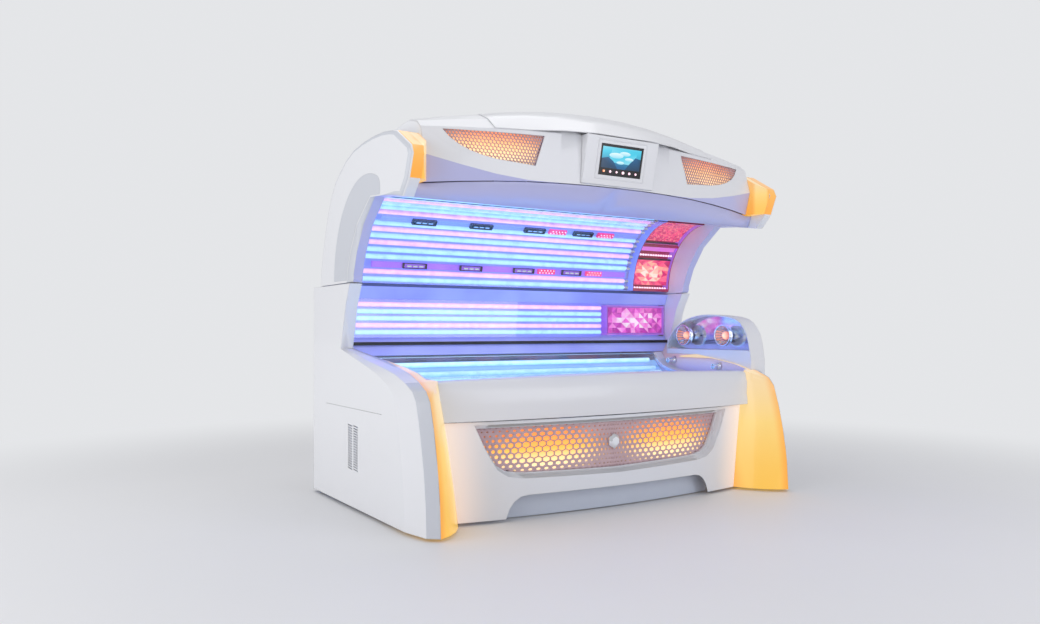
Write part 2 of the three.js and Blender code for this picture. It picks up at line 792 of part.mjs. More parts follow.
// Power and cooling under the bench
const boxTop = 400;
const coverBox = (x0, x1, y0, y1) =>
  box(x0, x1, y0, y1, frameTop + fit, boxTop).subtract(
    box(x0 + wall, x1 - wall, y0 + wall, y1 - wall, frameTop, boxTop - wall),
  );
const boxFrontY = frameFrontY + frameTube + 10;
place(base, "ballast_box", coverBox(-340, 300, boxFrontY, 260), steel);
place(base, "control_box", coverBox(360, 860, boxFrontY, 200), steel);
const fanFrontY = 640;
const fanBackY = rearY - wall - fit;
const fanBore = 100;
const hubRadius = 34;
const fanHub = fanFrontY + 12;
const spokeReach = fanHalf - wall;
const spokeHalf = 6;
const fanSpokes = [[spokeReach, spokeHalf], [spokeHalf, spokeReach]].map(([w, h]) =>
  box(fanX - w, fanX + w, fanFrontY, fanHub, fanZ - h, fanZ + h),
);
const [fanLow, fanHigh] = [fanZ - fanHalf, fanZ + fanHalf];
const fanFrame = box(fanX - fanHalf, fanX + fanHalf, fanFrontY, fanBackY, fanLow, fanHigh).subtract(
  rod("y", [fanX, 0, fanZ], fanBore, fanFrontY - 1, fanBackY + 1, 32),
);
const fanFoot = frameTop + fit;
const [legX, legHalf] = [90, 15];
const fanLegs = [fanX - legX, fanX + legX].map((x) =>
  box(x - legHalf, x + legHalf, frameRearY + 10, fanFrontY + 10, fanFoot, frameTop + 20),
);
const standHalf = legX + legHalf;
const fanStand = box(fanX - standHalf, fanX + standHalf, fanFrontY, fanFrontY + 20, fanFoot, fanLow + 1);
place(base, "fan_housing", join([fanFrame, ...fanSpokes, fanStand, ...fanLegs]), darkPlastic);
const bladeCount = 6;
const bladeLength = fanBore - 8;
const bladePitch = THREE.MathUtils.degToRad(40);
const blades = Array.from({ length: bladeCount }, (_, i) => {
  const blade = new THREE.BoxGeometry(bladeLength, sheetThickness, 38);
  blade.translate(bladeLength / 2, 0, 0);
  blade.rotateX(bladePitch);
  blade.rotateY((i * 2 * Math.PI) / bladeCount);
  return toSolid(blade.translate(fanX, fanHub + 24, fanZ));
});
const fanRotor = join([rod("y", [fanX, 0, fanZ], hubRadius, fanHub + fit, fanHub + 46, 24), ...blades]);
place(base, "fan_rotor", fanRotor, darkPlastic);

// Feet under the frame
const footRadius = 32;
const footX = halfLength - 245;
const stemRadius = 9;
const stemTop = frameBottom - fit;
const footProfile = [
  [0, 0],
  [footRadius, 0],
  [footRadius, 10],
  [stemRadius, 18],
  [stemRadius, stemTop],
  [0, stemTop],
];
for (const [end, x] of [["left", -footX], ["right", footX]])
  for (const [side, y] of [["front", frameFrontY + frameTube / 2], ["rear", frameRearY + frameTube / 2]]) {
    place(base, `foot_${side}_${end}`, turned("z", [x, y, 0], footProfile, 14), darkPlastic);
  }

// Lift: actuators in the columns, whose rods push the canopy cranks
const boreRadius = 8;
const tubeRadius = 12.5;
const rodClearance = 0.8;
const tubeTop = 1000;
const pinZ = hingeZ + crankLength * Math.sin(crankRest);
const pinRodRadius = 6;
const actuator = rod("z", [rodX, actuatorY, 0], tubeRadius, actuatorFoot, tubeTop).subtract(
  rod("z", [rodX, actuatorY, 0], boreRadius, actuatorFoot + 30, tubeTop + 1),
);
const liftRod = rod("z", [rodX, actuatorY, 0], boreRadius - rodClearance, actuatorFoot + 60, pinZ + 10).add(
  rod("x", [0, actuatorY, pinZ], pinRodRadius, crankX - 2, rodX),
);
place(base, "base_frame", baseFrame, steel);
for (const [end, mirror] of [["right", false], ["left", true]]) {
  place(base, `lift_actuator_${end}`, actuator, darkPlastic, mirror);
  place(base, `lift_rod_${end}`, liftRod, steel, mirror);
}

// Canopy outlines: the middle bows forward and rises between the end caps
const bow = (x) => Math.max(0, 1 - (x / capX) ** 2);
const creaseStart = 480;
const creaseHeight = 127;
const creasePull = 0.45;
const shellOutline = (x) => {
  const b = bow(x);
  return spline(
    [
      [canopyRearY, canopyBottom + 4],
      [596, 1318],
      [531, 1500],
      [440, 1668],
      [320, 1785 + 25 * b],
      [130, 1868 + 85 * b],
      [-100, 1905 + 125 * b],
      [-330 - 60 * b, 1920 + 112 * b],
    ],
    14,
  );
};
// The foot of the fascia turns under below a crease that climbs towards the ends
const fasciaOutline = (x) => {
  const b = bow(x);
  const waist = [-478 - 95 * b, 1740 + 40 * b];
  const foot = [-502 - 58 * b, 1606 + 50 * b];
  const along = Math.min(1, Math.max(0, (Math.abs(x) - creaseStart) / (capX - creaseStart)));
  const rise = creaseHeight * along ** 1.5;
  const share = Math.max(rise, 6) / (waist[1] - foot[1]);
  return [
    [-332 - 60 * b, 1920 + 110 * b],
    [-400 - 80 * b, 1900 + 80 * b],
    [-440 - 140 * b, 1868 + 30 * b],
    waist,
    [foot[0] + (waist[0] - foot[0]) * share, foot[1] + (waist[1] - foot[1]) * share],
    [foot[0] + creasePull * rise, foot[1]],
  ];
};
const lipOutline = (x) => {
  const b = bow(x);
  const [ridgeY, ridgeZ] = fasciaOutline(x).at(-1);
  const run = Math.hypot(lipY - ridgeY, lipZ - ridgeZ);
  const back = 7 / run;
  return [
    [ridgeY + (lipY - ridgeY) * back, ridgeZ + (lipZ - ridgeZ) * back],
    [lipY + 14 * b, lipZ],
    [-240, lipZ + 40],
    [lampCentreY - seam, lipRearZ],
  ];
};
const canopyHalf = capX - fit;
const canopyXs = stations(-canopyHalf, canopyHalf, 12);
const bowedSheet = (outline, thickness, xs = canopyXs) =>
  loft("x", xs.map((x) => across(x, sheetLoop(outline(x), thickness))));

// End cheeks close the step between the high shell and the lower end caps
const cheekDepth = 60;
const cheekLine = (x) => {
  const fasciaInside = offset(fasciaOutline(x), wall + seam);
  return [...shellOutline(x).slice(4, -1), ...fasciaInside.slice(0, 4)];
};
const cheek = bowedSheet(cheekLine, cheekDepth, [canopyHalf - wall, canopyHalf]);
const canopyShell = join([bowedSheet(shellOutline, wall), cheek, mirrorX(cheek)]);
place(canopy, "canopy_shell", canopyShell, whitePlastic);

// Fascia with grille windows and the opening of the display
const grilleOuter = [0.906 * capX, 1862];
const grilleLoop = [
  [0.42 * capX, 1872],
  grilleOuter,
  ...bend(grilleOuter, [0.849 * capX, 1760], [0.66 * capX, 1736], 5).slice(1),
  [0.468 * capX, 1722],
];
const grilleRoom = (grow) => {
  const ccw = signedArea(grilleLoop.map(([a, b]) => new THREE.Vector2(a, b))) > 0 ? -1 : 1;
  const solid = prism("y", offset(grilleLoop, grow * ccw, true), frontY, -300);
  return solid.add(mirrorX(solid));
};
const displayHalf = 232;
const displayBottom = 1662;
const displayTop = 1900;
const displayRoom = (grow) =>
  box(-displayHalf - grow, displayHalf + grow, frontY, -400, displayBottom - grow, displayTop + grow);
const fascia = bowedSheet(fasciaOutline, wall).subtract(grilleRoom(0)).subtract(displayRoom(seam));
place(canopy, "canopy_fascia", fascia, whitePlastic);

const grilleSetback = wall + fit;
const insetOutline = (outline, distance) => (x) => offset(outline(x), distance);
const grilleSheet = bowedSheet(insetOutline(fasciaOutline, grilleSetback), grilleThickness);
const grilleLap = 14;
const grilleHalf = grilleRoom(grilleLap).intersect(box(0, capX, frontY, 0, splitHeight, 2 * splitHeight));
const canopyGrille = grilleSheet.intersect(grilleHalf);
place(canopy, "canopy_grille_right", canopyGrille, mauveMetal);
place(canopy, "canopy_grille_left", canopyGrille, mauveMetal, true);

// Display housing, tilted to face down to a standing user, with the screen let into it
const tiltTopY = -620;
const tiltBottomY = -568;
const housingBack = -520;
const housing = prism(
  "x",
  [
    [tiltBottomY, displayBottom],
    [housingBack, displayBottom],
    [housingBack, displayTop],
    [tiltTopY, displayTop],
  ],
  -displayHalf,
  displayHalf,
);
const screenHalf = 137;
const screenLow = 1712;
const screenHigh = 1864;
const tiltSlope = (tiltTopY - tiltBottomY) / (displayTop - displayBottom);
const tiltY = (z) => tiltBottomY + tiltSlope * (z - displayBottom);
const screenSlab = (grow, front, back) =>
  prism(
    "x",
    [
      [tiltY(screenLow - grow) + front, screenLow - grow],
      [tiltY(screenLow - grow) + back, screenLow - grow],
      [tiltY(screenHigh + grow) + back, screenHigh + grow],
      [tiltY(screenHigh + grow) + front, screenHigh + grow],
    ],
    -screenHalf - grow,
    screenHalf + grow,
  );
place(canopy, "display_housing", housing.subtract(screenSlab(1, -1, 12)), whitePlastic);
place(canopy, "display_screen", screenSlab(0, 3, 12 - fit), screenGlass);

// Raised cover over the middle of the canopy top, which flows down to the display
const coverXs = canopyXs.slice(2, -2);
const coverHalf = coverXs.at(-1);
const coverRise = 24;
const coverGap = 0.7;
const hoodHalf = 235;
const hoodEnd = 480;
const hoodEdge = [tiltTopY - 2, displayTop + 7];
const coverLine = (x) => {
  const seat = offset([...shellOutline(x).slice(9), ...fasciaOutline(x).slice(1, 3)], -wall - coverGap);
  const lifted = offset(seat, -coverRise * (1 - (x / coverHalf) ** 2));
  const hood = 1 - THREE.MathUtils.smoothstep(Math.abs(x), hoodHalf, hoodEnd);
  const last = seat.length - 1;
  const raised = seat.map((p, i) => mix(p, lifted[i], Math.sin((Math.PI * i) / last)));
  return [...raised.slice(0, -1), mix(seat[last], hoodEdge, hood)];
};
place(canopy, "canopy_top_cover", bowedSheet(coverLine, wall, coverXs), whitePlastic);
const lipHalf = columnX - fit;
const lip = bowedSheet(lipOutline, wall, [-lipHalf, ...canopyXs, lipHalf]);
place(canopy, "canopy_lip", lip, whitePlastic);

// End caps of the canopy: arch with a rounded front corner that rolls about the hinge
const capArch = [
  [628, canopyBottom],
  [599, 1318],
  [531, 1498],
  [437, 1668],
  [310, 1765],
  [139, 1841],
  [-86, 1866],
  [-292, 1862],
  [-414, 1839],
];
const capNose = [
  [-568, 1747],
  [-587, 1706],
  [-543, 1595],
  [-479, 1527],
  [lipY, lipZ - 1],
];
const capRim = [
  [-250, 1560],
  [-140, 1570],
  [9, 1453],
  [102, 1321],
  [hingeY - hingeCornerRadius, hingeZ + 20],
];
const cornerEnd = THREE.MathUtils.degToRad(253);
const corner = stations(Math.PI, cornerEnd, 4).map((a) => [
  hingeY + hingeCornerRadius * Math.cos(a),
  hingeZ + hingeCornerRadius * Math.sin(a),
]);
const archLine = spline(capArch, 14);

// Section of a cap at x: its outer edge is rounded and its rim is chamfered towards the outer side.
const capEdgeRadius = 22;
const rimChamfer = 45;
const rimChamferDepth = 18;
function capSection(x) {
  const into = Math.max(0, x - halfLength + capEdgeRadius);
  const inset = capEdgeRadius - Math.sqrt(capEdgeRadius ** 2 - into ** 2);
  const shift = rimChamfer * Math.max(0, 1 - (halfLength - x) / rimChamferDepth);
  const outside = offset([...archLine, ...capNose], inset);
  outside[0][1] = canopyBottom;
  const rim = capRim.map(([y, z], i) => [y + shift * Math.min(1, i / 2), z]);
  return [...outside, ...rim, ...corner.map(([y, z]) => [y + shift, z])];
}
const openFoot = 10;
function capRoom(x) {
  const inside = offset(capSection(x), wall);
  const foot = [inside.at(-1), inside[0]].map(([y]) => [y, canopyBottom - openFoot]);
  return [...inside, ...foot];
}
const edgeSteps = [0, 0.5, 0.87, 1].map((t) => halfLength + capEdgeRadius * (t - 1));
const capXs = [columnX, edgeSteps[0], halfLength - rimChamferDepth, ...edgeSteps.slice(1)];
const lampEllipse = (grow, from, to, count) =>
  stations(from, to, count).map((a) => [
    lampCentreY + (lampHalfDepth + grow) * Math.cos(a),
    lampCentreZ + (lampHalfHeight + grow) * Math.sin(a),
  ]);
const bandWidth = 30;
const bandTop = lampCentreZ + lampHalfHeight + bandWidth;
const bandFoot = lampCentreZ - 172;
const bandLoop = [...lampEllipse(bandWidth, -0.3, Math.PI / 2, 10), [frontY, bandTop], [frontY, bandFoot]];
const band = prism("x", bandLoop, columnX - 20, columnX + wall + 1);
const roomXs = [columnX + 2 * wall, ...capXs.slice(1)];
const hollow = loft("x", roomXs.map((x) => across(x - wall, capRoom(x))));
const innerOpening = prism("x", capRoom(columnX), columnX - 1, columnX + wall + 1).subtract(band);
const capBody = loft("x", capXs.map((x) => across(x, capSection(x)))).subtract(hollow).subtract(innerOpening);
const capFlange = prism("x", sheetLoop(archLine, wall), capX, columnX + wall);
const cap = capBody.add(capFlange);
place(canopy, "canopy_cap_right", cap, whitePlastic);
place(canopy, "canopy_cap_left", cap, whitePlastic, true);

// Glowing strip of the canopy: from the cap's nose back to the end of the fascia
const canopyStripLow = 1603;
const noseLoop = [...archLine.slice(-5), ...capNose, [-250, 1600]];
const noseRoom = prism("x", offset(noseLoop, fit, true), 0, halfLength);
const stripPlan = [
  [columnX - fit, -580],
  [columnX - fit, -420],
  [capX + fit, -420],
  [capX + fit, -500],
];
const stripWedge = prism("z", stripPlan, canopyStripLow, 1835);
const archRoom = prism("x", sheetLoop(archLine, wall + fit), 0, halfLength);
const canopyStrip = stripWedge.intersect(noseRoom).subtract(archRoom);
place(canopy, "canopy_strip_right", canopyStrip, glowPlastic);
place(canopy, "canopy_strip_left", canopyStrip, glowPlastic, true);

// Lamp field of the canopy
const lampTop = THREE.MathUtils.degToRad(88);
const lampLow = THREE.MathUtils.degToRad(1);
const ellipseSheet = (grow, thickness) => [
  ...lampEllipse(grow, lampLow, lampTop, 12),
  ...lampEllipse(grow + thickness, lampLow, lampTop, 12).reverse(),
];
const fieldLeft = seam - columnX;
const fieldRight = columnX - seam;
const archSheet = ellipseSheet(0, acrylicThickness);
const reflectorSheet = ellipseSheet(reflectorOffset, sheetThickness);
place(canopy, "canopy_acrylic", prism("x", archSheet, fieldLeft, faceModuleX - seam), clearPlastic);
place(canopy, "face_lens", prism("x", archSheet, faceModuleX, fieldRight), clearPlastic);
place(canopy, "canopy_reflector", prism("x", reflectorSheet, fieldLeft, fieldRight), aluminium);
const slotCount = 16;
const slotPitch = THREE.MathUtils.degToRad(5.25);
const jetSlots = { lower: 2, upper: 9 };
const slotAngle = (i) => lampLow + (i + 0.5) * slotPitch;
const isJet = (i) => Object.values(jetSlots).includes(i);
const lampSlots = Array.from({ length: slotCount }, (_, i) => i).filter((i) => !isJet(i));
const lampPlaces = lampSlots.map((i) => lampEllipse(lampOffset, slotAngle(i), 0, 1)[0]);
const lampStrip = ellipseSheet(acrylicThickness + fit, reflectorOffset - acrylicThickness - 2 * fit);
const canopyLamps = lampBank(lampPlaces, lampRadius, lampStrip, fieldLeft + 12, faceModuleX - 14);
const arcBar = (angle, low, high, spread) => {
  const [from, to] = [angle - spread, angle + spread];
  return [...lampEllipse(low, from, to, 1), ...lampEllipse(high, from, to, 1).reverse()];
};
const jetSpread = 0.036;
const jetFront = acrylicThickness + 2;
const facetSag = 0.9;
const jetXs = [-825, -470, -110, 240];
const jetWidth = 150;
const jetBack = lampOffset - lampRadius;
const jetDepth = 10;
const postWidth = 30;
const [jetFrom, jetTo] = [fieldLeft + 110, faceModuleX - 60];
for (const [name, slot] of Object.entries(jetSlots)) {
  const angle = slotAngle(slot);
  const bar = prism("x", arcBar(angle, jetFront, jetBack, jetSpread), jetFrom, jetTo);
  const mouth = arcBar(angle, 0, jetFront + jetDepth, jetSpread * 0.6);
  const mouths = jetXs.map((x) => prism("x", mouth, x, x + jetWidth));
  const post = arcBar(angle, jetBack - 2, reflectorOffset - fit - facetSag, jetSpread * 0.5);
  const posts = [jetFrom, 0, jetTo - postWidth].map((x) => prism("x", post, x, x + postWidth));
  place(canopy, `jet_bar_${name}`, bar.subtract(join(mouths)).add(join(posts)), darkPlastic);
}
place(canopy, "canopy_lamp_bank", canopyLamps, lampGlass);

// Face tanner: curved tray with reflector ridges
const trayBack = 60;
const trayFront = acrylicThickness + fit;
const trayRoom = prism("x", ellipseSheet(0, trayBack - wall), faceModuleX + wall, fieldRight - wall);
const trayLoop = ellipseSheet(trayFront, trayBack - trayFront);
const tray = prism("x", trayLoop, faceModuleX, fieldRight).subtract(trayRoom);
const trayWallSpread = 0.02;
const trayAngles = [lampLow + trayWallSpread, (lampLow + lampTop) / 2, lampTop - trayWallSpread];
const trayWalls = trayAngles.map((angle) =>
  prism("x", arcBar(angle, trayFront, trayBack, trayWallSpread), faceModuleX, fieldRight),
);
place(canopy, "face_module", join([tray, ...trayWalls]), aluminium);

// Canopy frame: ribs under the shell, cross tubes, side plates on the hinge pins and cranks for the lift
const ribHalf = 4;
const ribInset = wall + fit;
function ribLoop(x) {
  const outside = [
    ...offset(shellOutline(x), ribInset).slice(1, -1),
    ...offset(fasciaOutline(x), ribInset).slice(1, -1),
    ...offset(lipOutline(x), ribInset).slice(1),
  ];
  const inside = lampEllipse(reflectorOffset + sheetThickness + fit, lampLow, lampTop, 12).reverse();
  return [...outside, ...inside];
}
const ribs = [2, 6, 10].map((i) =>
  loft("x", [canopyXs[i] - ribHalf, canopyXs[i] + ribHalf].map((x) => across(x, ribLoop(x)))),
);
const tubeSize = 40;
const tubePlaces = [
  [445, 1420],
  [-130, 1755],
];
const crossTubes = tubePlaces.map(([y, z]) =>
  box(-crankX - 1, crankX + 1, y - tubeSize / 2, y + tubeSize / 2, z - tubeSize / 2, z + tubeSize / 2),
);
const eyeRadius = 19;
const pinClearance = 0.4;
const crankTip = [crankLength + 16, crankLength * Math.cos(crankRest) - 14].map((r) => [
  hingeY + r * Math.cos(crankRest),
  hingeZ + r * Math.sin(crankRest),
]);
const slotEnd = mix(crankTip[0], crankTip[1], 0.2);
const slotWidth = 2 * (pinRodRadius + 1.2);
const plateEnd = crankX + plateThickness;
const sidePlate = join([
  rod("x", [0, hingeY, hingeZ], eyeRadius, crankX, plateEnd),
  prism("x", bar([hingeY, hingeZ], tubePlaces[0], 36), crankX, plateEnd),
  prism("x", bar(tubePlaces[0], tubePlaces[1], 36), crankX, plateEnd),
  prism("x", bar([hingeY, hingeZ], crankTip[0], 34), crankX, plateEnd),
])
  .subtract(rod("x", [0, hingeY, hingeZ], pinRadius + pinClearance, crankX - 1, plateEnd + 1))
  .subtract(prism("x", bar(crankTip[1], slotEnd, slotWidth), crankX - 1, plateEnd + 1));
const frameRibs = join(ribs).subtract(grilleRoom(grilleLap + fit)).subtract(displayRoom(seam));
const canopyFrame = join([frameRibs, ...crossTubes, sidePlate, mirrorX(sidePlate)]);
place(canopy, "canopy_frame", canopyFrame, steel);

// Skirt that closes the rear when the canopy is down: drum about the hinge, inside the base when it is up
const skirtLow = THREE.MathUtils.degToRad(-46);
const skirtGap = 0.5;
const shellInside = offset(shellOutline(canopyHalf), wall);
const hingeLevel = shellInside.findIndex(([, z]) => z > hingeZ);
const [below, above] = [shellInside[hingeLevel - 1], shellInside[hingeLevel]];
const shellAtHinge = below[0] + ((above[0] - below[0]) * (hingeZ - below[1])) / (above[1] - below[1]);
const skirtRadius = shellAtHinge - skirtGap - hingeY;
const skirtArc = (radius) =>
  stations(skirtLow, 0, 10).map((a) => [hingeY + radius * Math.cos(a), hingeZ + radius * Math.sin(a)]);
const skirtX = columnX + 8;
const skirtEye = 60;
const skirtBand = (outer, inner) => [...skirtArc(outer), ...skirtArc(inner).reverse()];
const skirtSheet = prism("x", skirtBand(skirtRadius, skirtRadius - sheetThickness), -skirtX, skirtX);
const skirtSide = prism("x", skirtBand(skirtRadius - 1, skirtEye), skirtX, skirtX + sheetThickness);
place(canopy, "canopy_skirt", join([skirtSheet, skirtSide, mirrorX(skirtSide)]), greyPlastic);

export default bed;
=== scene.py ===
"""Looks of the clamshell tanning bed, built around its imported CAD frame. Metres, +Z up, floor at Z = 0."""
import json
import math

import bmesh
import bpy
import numpy as np
from mathutils import Matrix, Vector
from mathutils.bvhtree import BVHTree


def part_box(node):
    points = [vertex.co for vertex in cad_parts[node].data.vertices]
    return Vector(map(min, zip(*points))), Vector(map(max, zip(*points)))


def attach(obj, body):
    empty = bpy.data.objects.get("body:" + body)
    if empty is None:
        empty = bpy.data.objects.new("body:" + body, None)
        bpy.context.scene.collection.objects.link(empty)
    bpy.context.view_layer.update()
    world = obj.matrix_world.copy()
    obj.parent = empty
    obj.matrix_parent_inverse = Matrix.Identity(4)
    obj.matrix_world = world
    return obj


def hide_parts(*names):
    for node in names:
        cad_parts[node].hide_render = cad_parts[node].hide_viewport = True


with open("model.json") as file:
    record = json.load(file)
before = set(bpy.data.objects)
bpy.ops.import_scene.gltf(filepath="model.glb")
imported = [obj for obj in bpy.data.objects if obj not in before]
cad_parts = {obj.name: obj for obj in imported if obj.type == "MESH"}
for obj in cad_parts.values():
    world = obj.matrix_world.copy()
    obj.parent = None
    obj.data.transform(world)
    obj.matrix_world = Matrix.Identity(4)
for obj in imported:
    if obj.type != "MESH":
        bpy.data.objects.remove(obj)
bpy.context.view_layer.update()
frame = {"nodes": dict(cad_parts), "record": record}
record = frame["record"]
body_of = {node: body for body, members in record["behaviour"]["bodies"].items() for node in members}
slot_of = {part["node"]: part["material_slot"] for part in record["subparts"]}

BACKDROP = (0.78, 0.79, 0.81, 1.0)

# Lamp field of the canopy: an ellipse in the YZ plane, divided into slots
LAMP_CENTRE = (-0.060, 1.172)
LAMP_HALF = (0.350, 0.418)
LAMP_OFFSET = 0.036
LAMP_RADIUS = 0.014
SLOT_LOW = math.radians(1)
SLOT_PITCH = math.radians(5.25)
# Colours by slot: cyan, pink, or none where air jets lie
CANOPY_COLOURS = "cp ccpcpc pccpcc"
SIDE_COLOURS = "cpccp"

# Air jets and LED plates
JET_SLOTS = {"lower": 2, "upper": 9}
JET_CENTRES = (-0.750, -0.395, -0.035, 0.315)
LED_CENTRES = (0.128, 0.486)
JET_GROW = 0.010
JET_HALF = 0.072
JET_HEIGHT = 0.016
JET_BACK = -0.014

# Angles in degrees below which edges of shells and of round pieces are shaded round
SHELL_ROUND, ROUND = 32, 40

# Inlays of the canopy caps: degrees along the lamp arch, and how far they reach from it
INLAY_FROM, INLAY_TO, INLAY_NOSE = 1.0, 118.0, 9.0
INLAY_GROW = 0.100

# Bowls of the head console
BOWL_RADIUS = 0.0655

# Rays that look for the front of a surface
FAR_FRONT = -2.0
REARWARD = Vector((0, 1, 0))

# Most values of a noise texture lie between these two
NOISE_LOW, NOISE_HIGH = 0.3, 0.7


# Shader helpers
class Shader:
    """A material with one Principled BSDF and short calls to add and join nodes."""

    def __init__(self, name, **sockets):
        self.material = bpy.data.materials.new(name)
        self.material.use_nodes = True
        self.tree = self.material.node_tree
        self.bsdf = self.tree.nodes["Principled BSDF"]
        self.put(self.bsdf, **sockets)

    def put(self, node, **sockets):
        for label, value in sockets.items():
            node.inputs[label.replace("_", " ")].default_value = value

    def add(self, kind, settings=None, **sockets):
        node = self.tree.nodes.new("ShaderNode" + kind)
        for label, value in (settings or {}).items():
            setattr(node, label, value)
        self.put(node, **sockets)
        return node

    def join(self, output, node, label):
        self.tree.links.new(output, node.inputs[label])

    def place(self):
        return self.add("TexCoord").outputs["Object"]

    def axis(self, name):
        split = self.add("SeparateXYZ")
        self.join(self.place(), split, "Vector")
        return split.outputs[name]

    def attribute(self, name):
        return self.add("Attribute", {"attribute_name": name}).outputs["Fac"]

    def noise(self, scale):
        node = self.add("TexNoise", Scale=scale, Detail=3.0)
        self.join(self.place(), node, "Vector")
        return node.outputs["Fac"]

    def calc(self, operation, *values):
        """A Math node on outputs of other nodes or on plain numbers."""
        node = self.add("Math", {"operation": operation})
        for index, value in enumerate(values):
            if isinstance(value, float):
                node.inputs[index].default_value = value
            else:
                self.join(value, node, index)
        return node.outputs[0]

    def ramp(self, value, stops):
        node = self.add("ValToRGB")
        elements = node.color_ramp.elements
        while len(elements) < len(stops):
            elements.new(0.5)
        for element, (position, colour) in zip(elements, stops):
            element.position = position
            element.color = (*colour, 1.0)
        self.join(value, node, "Fac")
        return node.outputs["Color"]

    def spread(self, value, low, high, to_low=0.0, to_high=1.0):
        node = self.add("MapRange", {"interpolation_type": "SMOOTHSTEP"})
        for index, number in enumerate((low, high, to_low, to_high), start=1):
            node.inputs[index].default_value = number
        self.join(value, node, 0)
        return node.outputs[0]

    def tones(self, scale, low, high):
        return self.ramp(self.noise(scale), [(NOISE_LOW, low), (NOISE_HIGH, high)])

    def mottle(self, scale, low, high):
        """Colour that varies a little over the surface."""
        self.join(self.tones(scale, low, high), self.bsdf, "Base Color")

    def polish(self, scale, low, high):
        self.join(self.spread(self.noise(scale), NOISE_LOW, NOISE_HIGH, low, high), self.bsdf, "Roughness")

    def bevel(self, radius):
        return self.add("Bevel", {"samples": 4}, Radius=radius).outputs["Normal"]

    def relief(self, scale, height, edge=0.0):
        """Fine moulding texture, and edges softened over edge."""
        bump = self.add("Bump", Strength=0.4, Distance=height)
        self.join(self.noise(scale), bump, "Height")
        if edge:
            self.join(self.bevel(edge), bump, "Normal")
        self.join(bump.outputs["Normal"], self.bsdf, "Normal")

    def glow(self, colour, strength):
        self.join(colour, self.bsdf, "Emission Color")
        self.put(self.bsdf, Emission_Strength=strength)

    def blend(self, share, other):
        """Mixes a share of another shader into the surface."""
        mix = self.add("MixShader")
        self.join(share, mix, 0)
        self.join(self.bsdf.outputs[0], mix, 1)
        self.join(other.outputs[0], mix, 2)
        self.join(mix.outputs[0], self.tree.nodes["Material Output"], "Surface")


def gloss_shader(name):
    shade = Shader(name, Coat_Weight=0.3, Coat_Roughness=0.05)
    shade.polish(1.1, 0.29, 0.34)
    shade.join(shade.bevel(0.005), shade.bsdf, "Normal")
    return shade


def gloss(name, low, high):
    shade = gloss_shader(name)
    shade.mottle(0.7, low, high)
    return shade.material


def arm_plastic():
    """Gloss plastic tinted by the lamps below it and by the amber strip above."""
    shade = gloss_shader("arm_plastic")
    stops = [(0.0, (0.52, 0.52, 0.82)), (0.45, (0.78, 0.66, 0.80)), (1.0, (0.95, 0.72, 0.60))]
    height = shade.spread(shade.axis("Z"), low=0.64, high=0.77)
    shade.join(shade.ramp(height, stops), shade.bsdf, "Base Color")
    return shade.material


def panel_plastic():
    """Gloss plastic of the front panel, with a warm glow from the amber strips at both ends."""
    shade = gloss_shader("front_panel_plastic")
    shade.mottle(0.7, (0.78, 0.80, 0.84), (0.79, 0.81, 0.85))
    end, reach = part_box("front_panel")[1].x, 0.28
    near = shade.spread(shade.calc("ABSOLUTE", shade.axis("X")), end - reach, end)
    shade.glow(shade.ramp(near, [(0.0, (0.0, 0.0, 0.0)), (1.0, (1.0, 0.62, 0.46))]), 0.34)
    return shade.material


def satin(name, low, high, roughness=0.45):
    shade = Shader(name)
    shade.mottle(8.0, low, high)
    shade.polish(30.0, roughness - 0.08, roughness + 0.08)
    shade.relief(700.0, 0.0004, edge=0.002)
    return shade.material


def metal(name, low, high, roughness):
    shade = Shader(name, Metallic=1.0)
    shade.mottle(12.0, low, high)
    shade.polish(60.0, roughness * 0.7, roughness * 1.4)
    shade.relief(400.0, 0.0002)
    return shade.material


def amber_glow(name, node):
    """Diffuser of the strip on the right and of its mirror: paler on top, deeper at its edges."""
    low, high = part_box(node)
    shade = Shader(name, Roughness=0.3, Coat_Weight=0.4)
    shade.mottle(5.0, (0.18, 0.07, 0.01), (0.22, 0.09, 0.02))
    height = shade.spread(shade.axis("Z"), low.z, high.z)
    stops = [(0.0, (1.0, 0.60, 0.09)), (0.5, (1.0, 0.74, 0.24)), (1.0, (0.92, 0.76, 0.48))]
    side = shade.calc("ABSOLUTE", shade.axis("X"))
    edge = 0.22 * (high.x - low.x)
    inner = shade.spread(side, low.x, low.x + edge, 1.0, 0.0)
    outer = shade.spread(side, high.x - edge, high.x)
    deeper = shade.add("Mix", {"data_type": "RGBA", "blend_type": "MULTIPLY"})
    shade.join(shade.calc("MAXIMUM", inner, outer), deeper, 0)
    shade.join(shade.ramp(height, stops), deeper, 6)
    deeper.inputs[7].default_value = (1.0, 0.70, 0.45, 1.0)
    shade.glow(deeper.outputs[2], strength=0.82)
    return shade.material


def lamp_light(name, edge, core, strength):
    """Lit tube: the side towards the user is the brightest."""
    shade = Shader(name, Roughness=0.2)
    shade.mottle(20.0, edge, core)
    shade.glow(shade.ramp(shade.attribute("core"), [(0.15, edge), (0.95, core)]), strength)
    return shade.material


def lit_sheet(name, low, high, strength, metallic=0.6):
    """Polished sheet that carries the colour of the lamps beside it."""
    shade = Shader(name, Metallic=metallic)
    shade.mottle(4.0, low, high)
    shade.polish(6.0, 0.29, 0.36)
    shade.glow(shade.tones(3.0, low, high), strength)
    return shade.material


